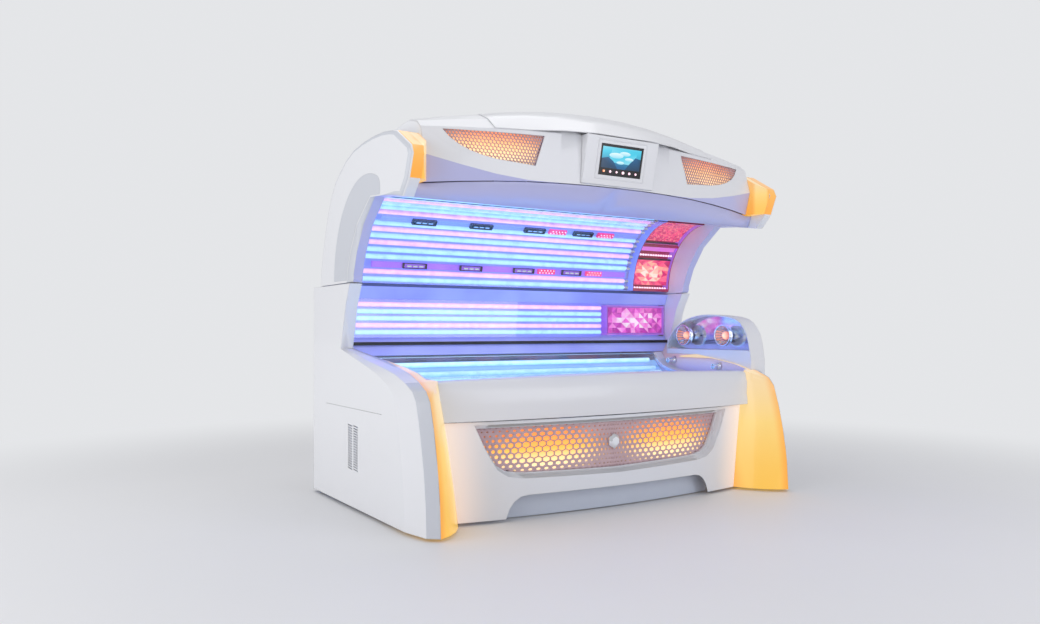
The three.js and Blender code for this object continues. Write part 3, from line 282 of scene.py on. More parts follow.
def clear_acrylic():
    """Clear sheet: a glass shader that lets the lamps' light through as straight rays."""
    shade = Shader("clear_acrylic", IOR=1.45, Transmission_Weight=1.0)
    shade.mottle(2.0, (0.93, 0.97, 1.0), (1.0, 1.0, 1.0))
    shade.polish(6.0, 0.0, 0.03)
    path = shade.add("LightPath")
    either = shade.calc("MAXIMUM", path.outputs["Is Shadow Ray"], path.outputs["Is Diffuse Ray"])
    shade.blend(either, shade.add("BsdfTransparent"))
    return shade.material


def grille_light(name, centre, half, mirrored, stops, rim):
    """Light behind a honeycomb: colours run up through stops and fade to rim at the edge of each lobe."""
    shade = Shader(name, Roughness=0.6)
    shade.mottle(6.0, (0.35, 0.16, 0.05), (0.45, 0.22, 0.08))
    x, z = shade.axis("X"), shade.axis("Z")
    if mirrored:
        x = shade.calc("ABSOLUTE", x)
    squares = []
    for value, middle, reach in ((x, centre[0], half[0]), (z, centre[1], half[1])):
        share = shade.calc("DIVIDE", shade.calc("SUBTRACT", value, middle), reach)
        squares.append(shade.calc("POWER", share, 2.0))
    height = shade.spread(z, centre[1] - half[1], centre[1] + half[1])
    shade.join(shade.ramp(height, stops), shade.bsdf, "Emission Color")
    strength = shade.spread(shade.calc("ADD", *squares), 0.3, 1.3, 1.2, rim)
    shade.join(strength, shade.bsdf, "Emission Strength")
    return shade.material


def facet_glow(name, strength, stops):
    """Faceted reflector lit by its own lamp, from its middle outwards."""
    shade = Shader(name, Roughness=0.35)
    shade.mottle(30.0, stops[0][1], stops[1][1])
    shade.glow(shade.ramp(shade.attribute("glow"), stops), strength)
    return shade.material


def picture_light():
    """Lit picture whose tones, from water to cloud, are marked on its shapes."""
    shade = Shader("screen_picture", Roughness=0.1, Base_Color=(0.01, 0.02, 0.03, 1.0))
    water = [(0.0, (0.004, 0.012, 0.03)), (0.35, (0.01, 0.12, 0.30))]
    sky = [(0.6, (0.06, 0.60, 0.80)), (1.0, (0.80, 0.97, 1.0))]
    shade.glow(shade.ramp(shade.attribute("tone"), water + sky), 1.0)
    return shade.material


WHITE = gloss("white_gloss_plastic", (0.80, 0.805, 0.83), (0.81, 0.815, 0.84))
# Lilac on white plastic: painted light of the lamps, and painted shade where downward faces take it
LILAC = gloss("lilac_lit_plastic", (0.50, 0.51, 0.80), (0.53, 0.54, 0.82))
# Grey for faces turned from the light: painted shade
SHADE = gloss("painted_shade_grey_plastic", (0.60, 0.62, 0.67), (0.62, 0.64, 0.69))
ARM = arm_plastic()
GREY = satin("grey_satin", (0.60, 0.65, 0.75), (0.62, 0.67, 0.77))
DARK = satin("near_black", (0.012, 0.012, 0.016), (0.022, 0.022, 0.028))
MAUVE = satin("mauve_coat", (0.56, 0.39, 0.42), (0.64, 0.46, 0.48), 0.38)
CHROME = metal("chrome", (0.80, 0.82, 0.86), (0.90, 0.91, 0.94), 0.07)
ALUMINIUM = metal("bright_aluminium", (0.66, 0.68, 0.76), (0.74, 0.76, 0.84), 0.18)
STEEL = satin("powder_coat", (0.17, 0.17, 0.19), (0.21, 0.21, 0.23))
CLEAR = clear_acrylic()
GLASS_BLACK = satin("screen_glass", (0.004, 0.004, 0.006), (0.008, 0.008, 0.01), 0.12)
CYAN_LAMP = lamp_light("cyan_lamp", (0.22, 0.40, 0.86), (0.44, 0.74, 1.0), 0.8)
BENCH_LAMP = lamp_light("bench_lamp", (0.30, 0.52, 0.86), (0.58, 0.86, 1.0), 0.78)
PINK_LAMP = lamp_light("pink_lamp", (0.44, 0.24, 0.82), (0.95, 0.55, 1.0), 0.8)
WARM_LAMP = lamp_light("warm_lamp", (0.70, 0.12, 0.05), (1.0, 0.60, 0.36), 0.9)
LAMP_FINISH = {"cyan": CYAN_LAMP, "pink": PINK_LAMP}
BLUE_SHEET = lit_sheet("blue_lit_sheet", (0.22, 0.30, 0.78), (0.32, 0.40, 0.88), 0.45, 0.3)
LILAC_SHEET = lit_sheet("lilac_lit_sheet", (0.30, 0.32, 0.78), (0.40, 0.44, 0.86), 0.26, 0.3)
VIOLET_SHEET = lit_sheet("violet_lit_sheet", (0.30, 0.12, 0.80), (0.44, 0.20, 0.92), 0.5)
BENCH_SHEET = lit_sheet("bench_lit_sheet", (0.28, 0.54, 0.84), (0.40, 0.66, 0.94), 0.55)
RED_FACETS = facet_glow("red_facets", 0.9, [
    (0.0, (0.10, 0.0, 0.03)), (0.25, (0.55, 0.01, 0.12)), (0.5, (0.95, 0.10, 0.20)),
    (0.75, (1.0, 0.54, 0.34)), (1.0, (1.0, 0.92, 0.76))])
PINK_FACETS = facet_glow("pink_facets", 0.85, [
    (0.0, (0.10, 0.0, 0.10)), (0.3, (0.46, 0.03, 0.34)), (0.55, (0.86, 0.16, 0.60)),
    (0.8, (1.0, 0.60, 0.86)), (1.0, (1.0, 0.95, 0.98))])
LED_WHITE = lamp_light("led_white", (1.0, 0.45, 0.62), (1.0, 0.92, 0.96), 1.0)
LED_RED = lamp_light("led_red", (0.62, 0.02, 0.10), (0.95, 0.10, 0.34), 0.75)
# Tray, frame and band of the tanners: their own dark colours with a glow that is painted light of the lamps
# beside them
DEEP_RED = lit_sheet("lamp_lit_deep_red_tray", (0.20, 0.005, 0.03), (0.34, 0.01, 0.06), 0.55, 0.0)
PLUM = lit_sheet("lamp_lit_plum_frame", (0.30, 0.10, 0.48), (0.42, 0.16, 0.60), 0.5, 0.0)
MAGENTA = lit_sheet("lamp_lit_magenta_band", (0.62, 0.12, 0.50), (0.78, 0.20, 0.62), 0.6, 0.0)


# Piece helpers
def linked(name, data):
    obj = bpy.data.objects.new(name, data)
    bpy.context.scene.collection.objects.link(obj)
    return obj


def mark(mesh, label, values, domain="POINT"):
    """Values for a shader, one for each vertex or face."""
    layer = mesh.attributes.new(label, "FLOAT", domain)
    layer.data.foreach_set("value", np.asarray(values, np.float32))


def piece(name, verts, faces, finish, body, slot, stands_for=(), smooth=None, label=None, marks=(),
          domain="POINT"):
    """A new piece that rides on a body. label names the marks that its shader reads."""
    mesh = bpy.data.meshes.new(name)
    mesh.from_pydata([tuple(v) for v in verts], [], faces)
    if label:
        mark(mesh, label, marks, domain)
    return settle(name, mesh, finish, body, slot, stands_for, smooth)


def settle(name, mesh, finish, body, slot, stands_for=(), smooth=None):
    """A piece from a mesh. smooth is the angle in degrees below which edges are shaded round."""
    mesh.materials.append(finish)
    if smooth:
        mesh.shade_smooth()
        mesh.set_sharp_from_angle(angle=math.radians(smooth))
    obj = linked(name, mesh)
    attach(obj, body)
    if stands_for:
        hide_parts(*stands_for)
    return obj


def clean_copy(node):
    """A bmesh of a CAD node whose doubled vertices are joined."""
    bm = bmesh.new()
    bm.from_mesh(frame["nodes"][node].data)
    bmesh.ops.remove_doubles(bm, verts=bm.verts, dist=1e-5)
    return bm


def to_mesh(bm, name):
    mesh = bpy.data.meshes.new(name)
    bm.to_mesh(mesh)
    bm.free()
    return mesh


def crease(mesh, distances):
    """Keeps edges sharp that run at these distances from the middle of the bed."""
    near = 1e-3
    for edge in mesh.edges:
        ends = [abs(mesh.vertices[i].co.x) for i in edge.vertices]
        if any(abs(ends[0] - x) + abs(ends[1] - x) < near for x in distances):
            edge.use_edge_sharp = True


def paint(mesh, zones):
    """Other finishes, each for the faces that pass its test."""
    for index, (finish, test) in enumerate(zones, start=1):
        mesh.materials.append(finish)
        for face in mesh.polygons:
            if test(face.center, face.normal):
                face.material_index = index


def dress(node, finish, smooth=SHELL_ROUND, creases=(), zones=(), bowed=False):
    """A clean copy of a CAD node that stands for it. A bowed shell is shaded evenly over unlike faces."""
    bm = clean_copy(node)
    flat = math.radians(0.05)
    bmesh.ops.dissolve_limit(bm, angle_limit=flat, verts=bm.verts, edges=bm.edges)
    name = node + "_skin"
    mesh = to_mesh(bm, name)
    obj = settle(name, mesh, finish, body_of[node], slot_of[node], (node,), smooth)
    crease(mesh, creases)
    paint(mesh, zones)
    if not bowed:
        soften = obj.modifiers.new("soften", "WEIGHTED_NORMAL")
        soften.keep_sharp = True
    return obj


def round_edges(obj, width):
    bevel = obj.modifiers.new("round", "BEVEL")
    bevel.width = width
    bevel.segments = 2
    bevel.limit_method = "ANGLE"


def surface_of(node):
    mesh = frame["nodes"][node].data
    return BVHTree.FromPolygons([v.co for v in mesh.vertices], [p.vertices for p in mesh.polygons])


def off_front(surface, x, z, out):
    """A point on the front of a surface, moved out along its normal."""
    hit, normal, _, _ = surface.ray_cast(Vector((x, FAR_FRONT, z)), REARWARD)
    return hit + normal * out


def circle(sides):
    turns = [2 * math.pi * k / sides for k in range(sides)]
    return [(math.cos(a), math.sin(a)) for a in turns]


def ring_faces(rings, sides, looped=False):
    """Quads between rings of vertices. looped joins the last ring to the first."""
    faces = []
    for ring in range(rings if looped else rings - 1):
        here, following = ring * sides, (ring + 1) % rings * sides
        for k in range(sides):
            beside = (k + 1) % sides
            faces.append((here + k, here + beside, following + beside, following + k))
    return faces


def prism_faces(rings, sides):
    """Faces of a closed stack of rings: both ends and the quads between them."""
    first, last = range(sides), range((rings - 1) * sides, rings * sides)
    return [tuple(reversed(first)), tuple(last)] + ring_faces(rings, sides)


def turned(faces):
    """The same faces, seen from their other side."""
    return [(face[0], *reversed(face[1:])) for face in faces]


class Build:
    """Collects vertices, faces and per-vertex marks of one piece."""

    def __init__(self):
        self.verts, self.faces, self.marks = [], [], []

    def add(self, verts, faces, marks=None):
        start = len(self.verts)
        self.verts += [tuple(v) for v in verts]
        self.faces += [[start + i for i in face] for face in faces]
        self.marks += list(marks) if marks is not None else [0.0] * len(verts)

    def box(self, corner):
        """A box from a function that places each of its eight corners, given 0 or 1 three times."""
        verts = [corner(a, b, c) for c in (0, 1) for b in (0, 1) for a in (0, 1)]
        faces = [(0, 2, 3, 1), (4, 5, 7, 6), (0, 1, 5, 4), (2, 6, 7, 3), (0, 4, 6, 2), (1, 3, 7, 5)]
        self.add(verts, faces)

    def tube(self, centre, radius, x0, x1, towards, sides=20):
        """A lamp tube along X with drawn-in ends, marked by how far each side faces the user."""
        neck, share_there = 0.006, 0.55
        stations = [(x0, share_there), (x0 + neck, 1.0), (x1 - neck, 1.0), (x1, share_there)]
        verts, marks = [], []
        for x, share in stations:
            for y, z in circle(sides):
                verts.append((x, centre[0] + radius * share * y, centre[1] + radius * share * z))
                marks.append(max(0.0, y * towards[0] + z * towards[1]))
        self.add(verts, prism_faces(len(stations), sides), marks)

    def dome(self, place, radius, up, sides=8):
        up = Vector(up).normalized()
        side = up.orthogonal().normalized()
        other = up.cross(side)
        verts, marks = [], []
        levels = ((0.0, 1.0), (0.6, 0.8), (1.0, 0.35))
        for level, share in levels:
            for a, b in circle(sides):
                verts.append(Vector(place) + radius * (share * (a * side + b * other) + level * up))
                marks.append(level)
        self.add(verts, prism_faces(len(levels), sides), marks)

    def finish(self, name, finish, body, slot, stands_for=(), smooth=None, label=None):
        return piece(name, self.verts, self.faces, finish, body, slot, stands_for, smooth, label, self.marks)


def ellipse(grow, angle):
    """The Y and Z of a point on the lamp arch, or outside it by grow."""
    return (LAMP_CENTRE[0] + (LAMP_HALF[0] + grow) * math.cos(angle),
            LAMP_CENTRE[1] + (LAMP_HALF[1] + grow) * math.sin(angle))


def slot_angle(slot):
    return SLOT_LOW + (slot + 0.5) * SLOT_PITCH


def inward(angle):
    """Unit direction in the YZ plane from the lamp field to the user."""
    normal = Vector((math.cos(angle) / LAMP_HALF[0], math.sin(angle) / LAMP_HALF[1]))
    return -normal.normalized()


# Tests that pick the faces of a shell's other finishes
def faces_down(centre, normal):
    return normal.z < -0.2 and normal.y < -0.5


def faces_lamps(centre, normal):
    """The inner rim of a canopy cap, which the lamps tint."""
    lip_rear = 1.600
    away = Vector((centre.y - LAMP_CENTRE[0], centre.z - LAMP_CENTRE[1]))
    return abs(normal.x) < 0.2 and normal.y * away.x + normal.z * away.y < -0.1 and centre.z < lip_rear


def bevels_rim(centre, normal):
    """The slanted faces between a cap's outer side and its edges."""
    return 0.5 < abs(normal.x) < 0.97 and normal.x * centre.x > 0


def faces_forward(centre, normal):
    """The slanted faces down the front of an end cover."""
    return 0.2 < abs(normal.x) < 0.97 and normal.x * centre.x > 0 and normal.y < -0.35


def faces_bench(centre, normal):
    """The inner wall of an end cover's arm, beside the bench."""
    return normal.x * math.copysign(1.0, centre.x) < -0.5 and centre.y < 0.25


# Shells that keep their CAD shape
def dress_all(nodes, finish, smooth=SHELL_ROUND):
    for node in nodes.split():
        dress(node, finish, smooth)


def dress_shells():
    outer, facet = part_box("right_end_cover")[1].x, 0.030
    # The slanted front faces of the end covers get painted shade, and the arms' inner walls the painted lamp
    # and strip light of ARM
    for node in ("right_end_cover", "left_end_cover"):
        dress(node, WHITE, 48, (outer, outer - facet), [(SHADE, faces_forward), (ARM, faces_bench)])
    dress("front_panel", panel_plastic())
    dress_all("front_rail rear_panel console_pod display_housing canopy_shell canopy_top_cover", WHITE)
    # The fascia's downward faces are painted lilac: painted shade, with the lamps' painted reflection
    dress("canopy_fascia", WHITE, 13, zones=[(LILAC, faces_down)], bowed=True)
    # The lip is painted lilac with the lamps' painted light
    dress("canopy_lip", LILAC, 60, bowed=True)
    # On the caps, the inner rim carries the lamps' painted light and the slanted rim faces painted shade
    for node in ("canopy_cap_right", "canopy_cap_left"):
        dress(node, WHITE, zones=[(LILAC, faces_lamps), (SHADE, bevels_rim)])
    dress_all("plinth canopy_skirt", GREY)
    dress_all("foot_front_left foot_rear_left foot_front_right foot_rear_right", DARK)
    dress_all("fan_housing fan_rotor lift_actuator_right lift_actuator_left side_trim_rail", DARK)
    dress_all("base_frame canopy_frame ballast_box control_box lift_rod_right lift_rod_left", STEEL)
    dress_all("console_nozzle_front console_nozzle_rear console_reflector grille_badge", CHROME, ROUND)
    dress_all("bench_acrylic side_acrylic console_lens canopy_acrylic face_lens", CLEAR)
    dress("side_reflector", LILAC_SHEET)
    dress("canopy_reflector", BLUE_SHEET)
    dress("bench_reflector", BENCH_SHEET)
    base_glow = amber_glow("base_strip_glow", "right_light_strip")
    dress_all("right_light_strip left_light_strip", base_glow)
    canopy_glow = amber_glow("canopy_strip_glow", "canopy_strip_right")
    for side in ("right", "left"):
        dress(f"canopy_strip_{side}", canopy_glow)
        strip_wrap(side, canopy_glow)
        cap_inlay(side)


def strip_wrap(side, glow):
    """The edge of the canopy's light strip, a thin sheet over the front of the cap's nose."""
    proud, nose_y = 0.001, -0.40
    node = f"canopy_strip_{side}"

    def on_nose(face):
        forward = abs(face.normal.x) < 0.2 and face.normal.y < -0.3
        return forward and face.calc_center_median().y < nose_y

    bm = clean_copy(f"canopy_cap_{side}")
    bmesh.ops.delete(bm, geom=[face for face in bm.faces if not on_nose(face)], context="FACES")
    foot = (0, 0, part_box(node)[0].z)
    everything = bm.verts[:] + bm.edges[:] + bm.faces[:]
    bmesh.ops.bisect_plane(bm, geom=everything, plane_co=foot, plane_no=(0, 0, 1), clear_inner=True)
    bm.normal_update()
    made = bmesh.ops.extrude_face_region(bm, geom=bm.faces[:], use_keep_orig=True)
    bm.normal_update()
    for vert in made["geom"]:
        if isinstance(vert, bmesh.types.BMVert):
            vert.co += Vector((0.0, vert.normal.y, vert.normal.z)).normalized() * proud
    bmesh.ops.recalc_face_normals(bm, faces=bm.faces[:])
    name = f"canopy_strip_wrap_{side}"
    settle(name, to_mesh(bm, name), glow, "canopy", slot_of[node], (), SHELL_ROUND)


def flat_from(skin, sign, turn):
    """How far from the lamp arch the flat outer side of a canopy cap starts."""
    for grow in np.arange(-0.14, INLAY_GROW, 0.002):
        y, z = ellipse(grow, turn)
        hit, normal, _, _ = skin.ray_cast(Vector((2.0 * sign, y, z)), Vector((-sign, 0, 0)))
        if hit is not None and abs(normal.x) > 0.98:
            return grow


def cap_inlay(side):
    """A thin panel on a canopy cap's outer side, with a round nose; its grey is painted shade."""
    steps = 48
    margin, proud, sunk, blunt = 0.006, 0.001, 0.002, 0.96
    skin = surface_of(f"canopy_cap_{side}")
    sign = 1 if side == "right" else -1
    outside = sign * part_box("canopy_cap_right")[1].x
    verts = []
    for turn in np.radians(np.linspace(INLAY_FROM, INLAY_TO, steps)):
        inner = flat_from(skin, sign, turn) + margin
        past = max(0.0, 1.0 - (math.radians(INLAY_TO) - turn) / math.radians(INLAY_NOSE))
        outer = inner + (INLAY_GROW - inner) * math.sqrt(1.0 - blunt * past ** 2)
        for grow, out in ((inner, proud), (outer, proud), (outer, -sunk), (inner, -sunk)):
            verts.append((outside + sign * out, *ellipse(grow, turn)))
    faces = prism_faces(steps, 4)
    if sign < 0:
        faces = turned(faces)
    piece(f"canopy_cap_inlay_{side}", verts, faces, SHADE, "canopy", "grey_trim", (), ROUND)


# Lamps
def lamp_bank(name, body, colours, lay):
    """Lit tubes of both colours for a CAD lamp bank. lay adds the tube of one slot to a build."""
    for colour, finish in LAMP_FINISH.items():
        build = Build()
        for slot, initial in enumerate(colours):
            if colour.startswith(initial):
                lay(build, slot)
        stands_for = (f"{name}_lamp_bank",) if colour == "cyan" else ()
        build.finish(f"{name}_lamps_{colour}", finish, body, "lamp_glass", stands_for, ROUND, "core")


def canopy_lamps():
    low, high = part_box("canopy_acrylic")
    x0, x1 = low.x + 0.04, high.x - 0.05
    reach, lap, wall, sides = 0.03, 0.012, 0.003, 12

    def lay(build, slot):
        angle = slot_angle(slot)
        build.tube(ellipse(LAMP_OFFSET, angle), LAMP_RADIUS, x0, x1, inward(angle))

    lamp_bank("canopy", "canopy", CANOPY_COLOURS, lay)
    sockets = Build()
    for slot in [k for k, initial in enumerate(CANOPY_COLOURS) if initial != " "]:
        angle = slot_angle(slot)
        for start, end in ((x0 - reach, x0 + lap), (x1 - lap, x1 + reach)):
            sockets.tube(ellipse(LAMP_OFFSET, angle), LAMP_RADIUS + wall, start, end, inward(angle), sides)
    sockets.finish("canopy_lamp_sockets", ALUMINIUM, "canopy", "bright_aluminium", (), ROUND)


def side_lamps():
    low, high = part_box("side_lamp_bank")
    y, radius, inset = 0.355, 0.013, 0.02
    pitch = (high.z - low.z) / len(SIDE_COLOURS)

    def lay(build, slot):
        build.tube((y, low.z + (slot + 0.5) * pitch), radius, low.x + inset, high.x - inset, (-1.0, 0.0))

    lamp_bank("side", "base", SIDE_COLOURS, lay)


def bench_lamps():
    """Tubes side by side, which follow the CAD bench sheet."""
    low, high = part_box("bench_lamp_bank")
    sheet = surface_of("bench_acrylic")
    front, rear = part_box("bench_acrylic")
    count, drop, radius, inset, below = 13, 0.030, 0.015, 0.03, 0.3
    y_low, y_high = front.y + 0.03, rear.y - 0.02
    build = Build()
    for i in range(count):
        y = y_low + (y_high - y_low) * i / (count - 1)
        hit, normal, _, _ = sheet.ray_cast(Vector((0.0, y, below)), Vector((0, 0, 1)))
        centre = hit + normal * drop
        build.tube((centre.y, centre.z), radius, low.x + inset, high.x - inset, (-normal.y, -normal.z))
    build.finish("bench_lamps", BENCH_LAMP, "base", "lamp_glass", ("bench_lamp_bank",), ROUND, "core")


# Air jets and LED plates between the canopy lamps
def jet_point(x, angle, along, out):
    """A point by the jets' face: moved along the arch, and out towards the user."""
    y, z = ellipse(JET_GROW, angle)
    n = inward(angle)
    return (x, y + n[1] * along + n[0] * out, z - n[0] * along + n[1] * out)


def jet_box(build, angle, x, along, out):
    """A box by the jets' face, from pairs of limits: along the bed, along the arch and out."""
    build.box(lambda a, b, c: jet_point(x[a], angle, along[b], out[c]))


def jet(frames, blades, angle, x):
    """One air jet: a frame of four bars on a back plate, and three blades."""
    bar, end_bar, blade_half, plate_depth = 0.004, 0.006, 0.014, (-0.016, -0.012)
    blade_height, blade_depth = (-0.006, 0.003), (-0.008, 0.003)
    whole, height, depth = (x - JET_HALF, x + JET_HALF), (-JET_HEIGHT, JET_HEIGHT), (JET_BACK, 0.004)
    for side in (-1, 1):
        edge, end = side * JET_HEIGHT, x + side * JET_HALF
        jet_box(frames, angle, whole, sorted((edge, edge - side * bar)), depth)
        jet_box(frames, angle, sorted((end, end - side * end_bar)), height, depth)
    jet_box(frames, angle, whole, height, plate_depth)
    for step in (-0.5, 0.0, 0.5):
        centre = x + step * JET_HALF
        jet_box(blades, angle, (centre - blade_half, centre + blade_half), blade_height, blade_depth)


def led_plate(plates, leds, angle, x):
    count, pitch = 10, 0.0111
    half, first, shift, seat, radius = 0.062, 0.05, 0.007, 0.001, 0.004
    jet_box(plates, angle, (x - half, x + half), (-JET_HEIGHT, JET_HEIGHT), (JET_BACK, seat))
    for k in range(count):
        along = shift if k % 2 else -shift
        leds.dome(jet_point(x - first + pitch * k, angle, along, seat), radius, (0.0, *inward(angle)))


def canopy_jets():
    channel_height, channel_depth = (-0.017, 0.017), (-0.03, -0.012)
    for name, slot in JET_SLOTS.items():
        node = f"jet_bar_{name}"
        angle = slot_angle(slot)
        low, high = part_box(node)
        channel, frames, blades, plates, leds = Build(), Build(), Build(), Build(), Build()
        jet_box(channel, angle, (low.x, high.x), channel_height, channel_depth)
        for x in JET_CENTRES:
            jet(frames, blades, angle, x)
        for x in LED_CENTRES:
            led_plate(plates, leds, angle, x)
        # The channels glow violet or blue: painted lamp light on dark plastic
        tint = VIOLET_SHEET if name == "lower" else BLUE_SHEET
        round_edges(channel.finish(f"jet_channel_{name}", tint, "canopy", "dark_plastic", (node,)), 0.003)
        round_edges(frames.finish(f"jet_frames_{name}", DARK, "canopy", "dark_plastic"), 0.001)
        round_edges(blades.finish(f"jet_blades_{name}", CHROME, "canopy", "chrome_trim"), 0.001)
        round_edges(plates.finish(f"led_plates_{name}", LED_RED, "canopy", "dark_plastic"), 0.002)
        leds.finish(f"led_domes_{name}", LED_WHITE, "canopy", "lamp_glass", (), ROUND, "core")


# Faceted reflectors of the face and shoulder tanners
def uneven(random):
    return 0.3 + 0.7 * random.random()


def facet_points(columns, rows, deepest, random):
    """Corners as u, v and depth, sunk by chance inside the rim."""
    points = []
    for j in range(rows + 1):
        for i in range(columns + 1):
            inner = 0 < i < columns and 0 < j < rows
            points.append((i / columns, j / rows, deepest * uneven(random) if inner else 0.0))
    return points


def facet_corners(columns, rows):
    wide = columns + 1
    corners = []
    for j in range(rows):
        for i in range(columns):
            a = j * wide + i
            b, c, d = a + 1, a + 1 + wide, a + wide
            corners += [(a, b, c), (a, c, d)] if (i + j) % 2 else [(a, b, d), (b, c, d)]
    return corners


def facets(name, place, columns, rows, deepest, seed, finish, body):
    """A thin sheet of tilted facets, each lit by itself. place maps u, v in 0..1 and a depth to a point."""
    sheet = 0.0015
    random = np.random.default_rng(seed)
    points = facet_points(columns, rows, deepest, random)
    front = facet_corners(columns, rows)
    glows = []
    for corners in front:
        u = sum(points[k][0] for k in corners) / 3
        v = sum(points[k][1] for k in corners) / 3
        shine = max(0.15, 1.6 - math.hypot(u - 0.5, v - 0.5) * 1.9)
        glows.append(min(1.0, shine * uneven(random)))
    count, wide = len(points), columns + 1
    rim = list(range(columns)) + [j * wide + columns for j in range(rows)]
    rim += [rows * wide + i for i in range(columns, 0, -1)] + [j * wide for j in range(rows, 0, -1)]
    back = [tuple(count + k for k in reversed(corners)) for corners in front]
    walls = [(b, a, count + a, count + b) for a, b in zip(rim, rim[1:] + rim[:1])]
    verts = [place(u, v, depth + behind) for behind in (0.0, sheet) for u, v, depth in points]
    glows += [0.0] * (len(back) + len(walls))
    faces = front + back + walls
    piece(name, verts, faces, finish, body, "bright_aluminium", label="glow", marks=glows, domain="FACE")


def arch_patch(x0, x1, arc, grow):
    """A map from u, v in 0..1 and a depth to a point behind the lamp arch. arc is in degrees."""
    a0, a1 = math.radians(arc[0]), math.radians(arc[1])

    def place(u, v, depth):
        return (x0 + (x1 - x0) * u, *ellipse(grow + depth, a0 + (a1 - a0) * v))

    return place


def arch_slab(build, place, thickness, steps):
    section = ((0.0, 0.0), (1.0, 0.0), (1.0, thickness), (0.0, thickness))
    verts = [place(u, j / steps, depth) for j in range(steps + 1) for u, depth in section]
    build.add(verts, prism_faces(steps + 1, len(section)))


def face_mesh(x0, x1):
    """Lit cells of the face tanner's pierced plate."""
    random = np.random.default_rng(21)
    cells = Build()
    place = arch_patch(x0, x1, arc=(49, 82), grow=0.018)
    steps_u, steps_v, thickness = 24, 26, 0.006
    corners = ((0.2, 0.2), (0.8, 0.2), (0.8, 0.8), (0.2, 0.8))
    for i in range(steps_u):
        for j in range(steps_v):
            loop = [((i + a) / steps_u, (j + b) / steps_v) for a, b in corners]
            verts = [place(u, v, depth) for depth in (0.0, thickness) for u, v in loop]
            cells.add(verts, turned(prism_faces(2, 4)), [0.2 + 0.45 * random.random()] * len(verts))
    cells.finish("face_mesh", RED_FACETS, "canopy", "dark_plastic", (), None, "glow")


def face_leds(x0, x1):
    leds = Build()
    seat, radius = 0.016, 0.008
    for degrees, count in ((3.8, 13), (34.0, 13), (86.0, 9)):
        angle = math.radians(degrees)
        for k in range(count):
            place = (x0 + (x1 - x0) * (k + 0.5) / count, *ellipse(seat, angle))
            leds.dome(place, radius, (0.0, *inward(angle)))
    leds.finish("face_leds", LED_WHITE, "canopy", "lamp_glass", (), ROUND, "core")


def face_module():
    low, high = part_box("face_module")
    margin, wall = 0.012, 0.03
    x0, x1 = low.x + margin, high.x - margin
    hollow = arch_patch(x0, x1, arc=(6.5, 29), grow=0.014)
    facets("face_reflectors", hollow, 8, 7, deepest=0.030, seed=3, finish=RED_FACETS, body="canopy")
    band, frames = Build(), Build()
    # The band's magenta glow is painted lamp light
    arch_slab(band, arch_patch(x0, x1, arc=(38, 46), grow=0.016), thickness=0.006, steps=8)
    band.finish("face_band", MAGENTA, "canopy", "bright_aluminium")
    for arc in ((29.4, 30.4), (46.4, 47.6), (83, 84)):
        arch_slab(frames, arch_patch(x0, x1, arc, grow=0.013), thickness=0.010, steps=2)
    frames.finish("face_frames", DARK, "canopy", "dark_plastic")
    face_mesh(x0, x1)
    face_leds(x0, x1)
    # The tray's end walls glow violet and blue, and the tray deep red: painted lamp light
    right_wall = (VIOLET_SHEET, lambda centre, normal: centre.x > high.x - wall and normal.x < -0.5)
    left_wall = (BLUE_SHEET, lambda centre, normal: centre.x < low.x + wall and abs(normal.x) > 0.5)
    dress("face_module", DEEP_RED, zones=[right_wall, left_wall])


def shoulder_module():
    low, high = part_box("shoulder_module")
    margin, behind = 0.014, 0.004

    def place(u, v, depth):
        x = low.x + margin + (high.x - low.x - 2 * margin) * u
        return (x, low.y + behind + depth, low.z + margin + (high.z - low.z - 2 * margin) * v)

    facets("shoulder_reflectors", place, 12, 5, deepest=0.010, seed=11, finish=PINK_FACETS, body="base")
    # The frame's plum glow is painted lamp light
    dress("shoulder_module", PLUM)


# Honeycomb grilles
class Honeycomb:
    """Six-sided cells on a CAD grille's front. column_x and row_z map column and row numbers to places."""

    corners = [(0.0, 2 / 3), (-0.5, 1 / 3), (-0.5, -1 / 3), (0.0, -2 / 3), (0.5, -1 / 3), (0.5, 1 / 3)]
    sink = 0.003

    def __init__(self, node, column_x, row_z, thickness):
        self.front = surface_of(node)
        self.column_x, self.row_z = column_x, row_z
        self.thickness = thickness
        self.verts, self.faces, self.known, self.edges = [], [], {}, {}

    def face_y(self, x, z):
        """The Y of the grille's front, or of its nearest edge beside it."""
        hit = self.front.ray_cast(Vector((x, FAR_FRONT, z)), REARWARD)[0]
        if hit is None:
            hit = self.front.find_nearest(Vector((x, FAR_FRONT, z)))[0]
            hit = self.front.find_nearest(Vector((x, hit.y, z)))[0]
        return hit.y

    def vertex(self, column, row, back):
        x, z = self.column_x(column), self.row_z(row)
        self.verts.append((x, self.face_y(x, z) + back, z))
        return len(self.verts) - 1

    def rim_vertex(self, column, row, back):
        key = (round(column * 6), round(row * 6), back)
        if key not in self.known:
            self.known[key] = self.vertex(column, row, back)
        return self.known[key]

    def cell(self, column, row, share):
        rim = [(column + a, row + b) for a, b in self.corners]
        hole = [(column + a * share, row + b * share) for a, b in self.corners]
        loops = [[self.rim_vertex(c, r, 0.0) for c, r in rim],
                 [self.vertex(c, r, self.sink) for c, r in hole],
                 [self.vertex(c, r, self.thickness) for c, r in hole],
                 [self.rim_vertex(c, r, self.thickness) for c, r in rim]]
        pairs = [(k, (k + 1) % 6) for k in range(6)]
        for first, second in zip(loops, loops[1:]):
            self.faces += [(first[k], first[j], second[j], second[k]) for k, j in pairs]
        front, back = loops[0], loops[3]
        for k, j in pairs:
            quad = (front[j], front[k], back[k], back[j])
            self.edges.setdefault(frozenset((front[k], front[j])), []).append(quad)


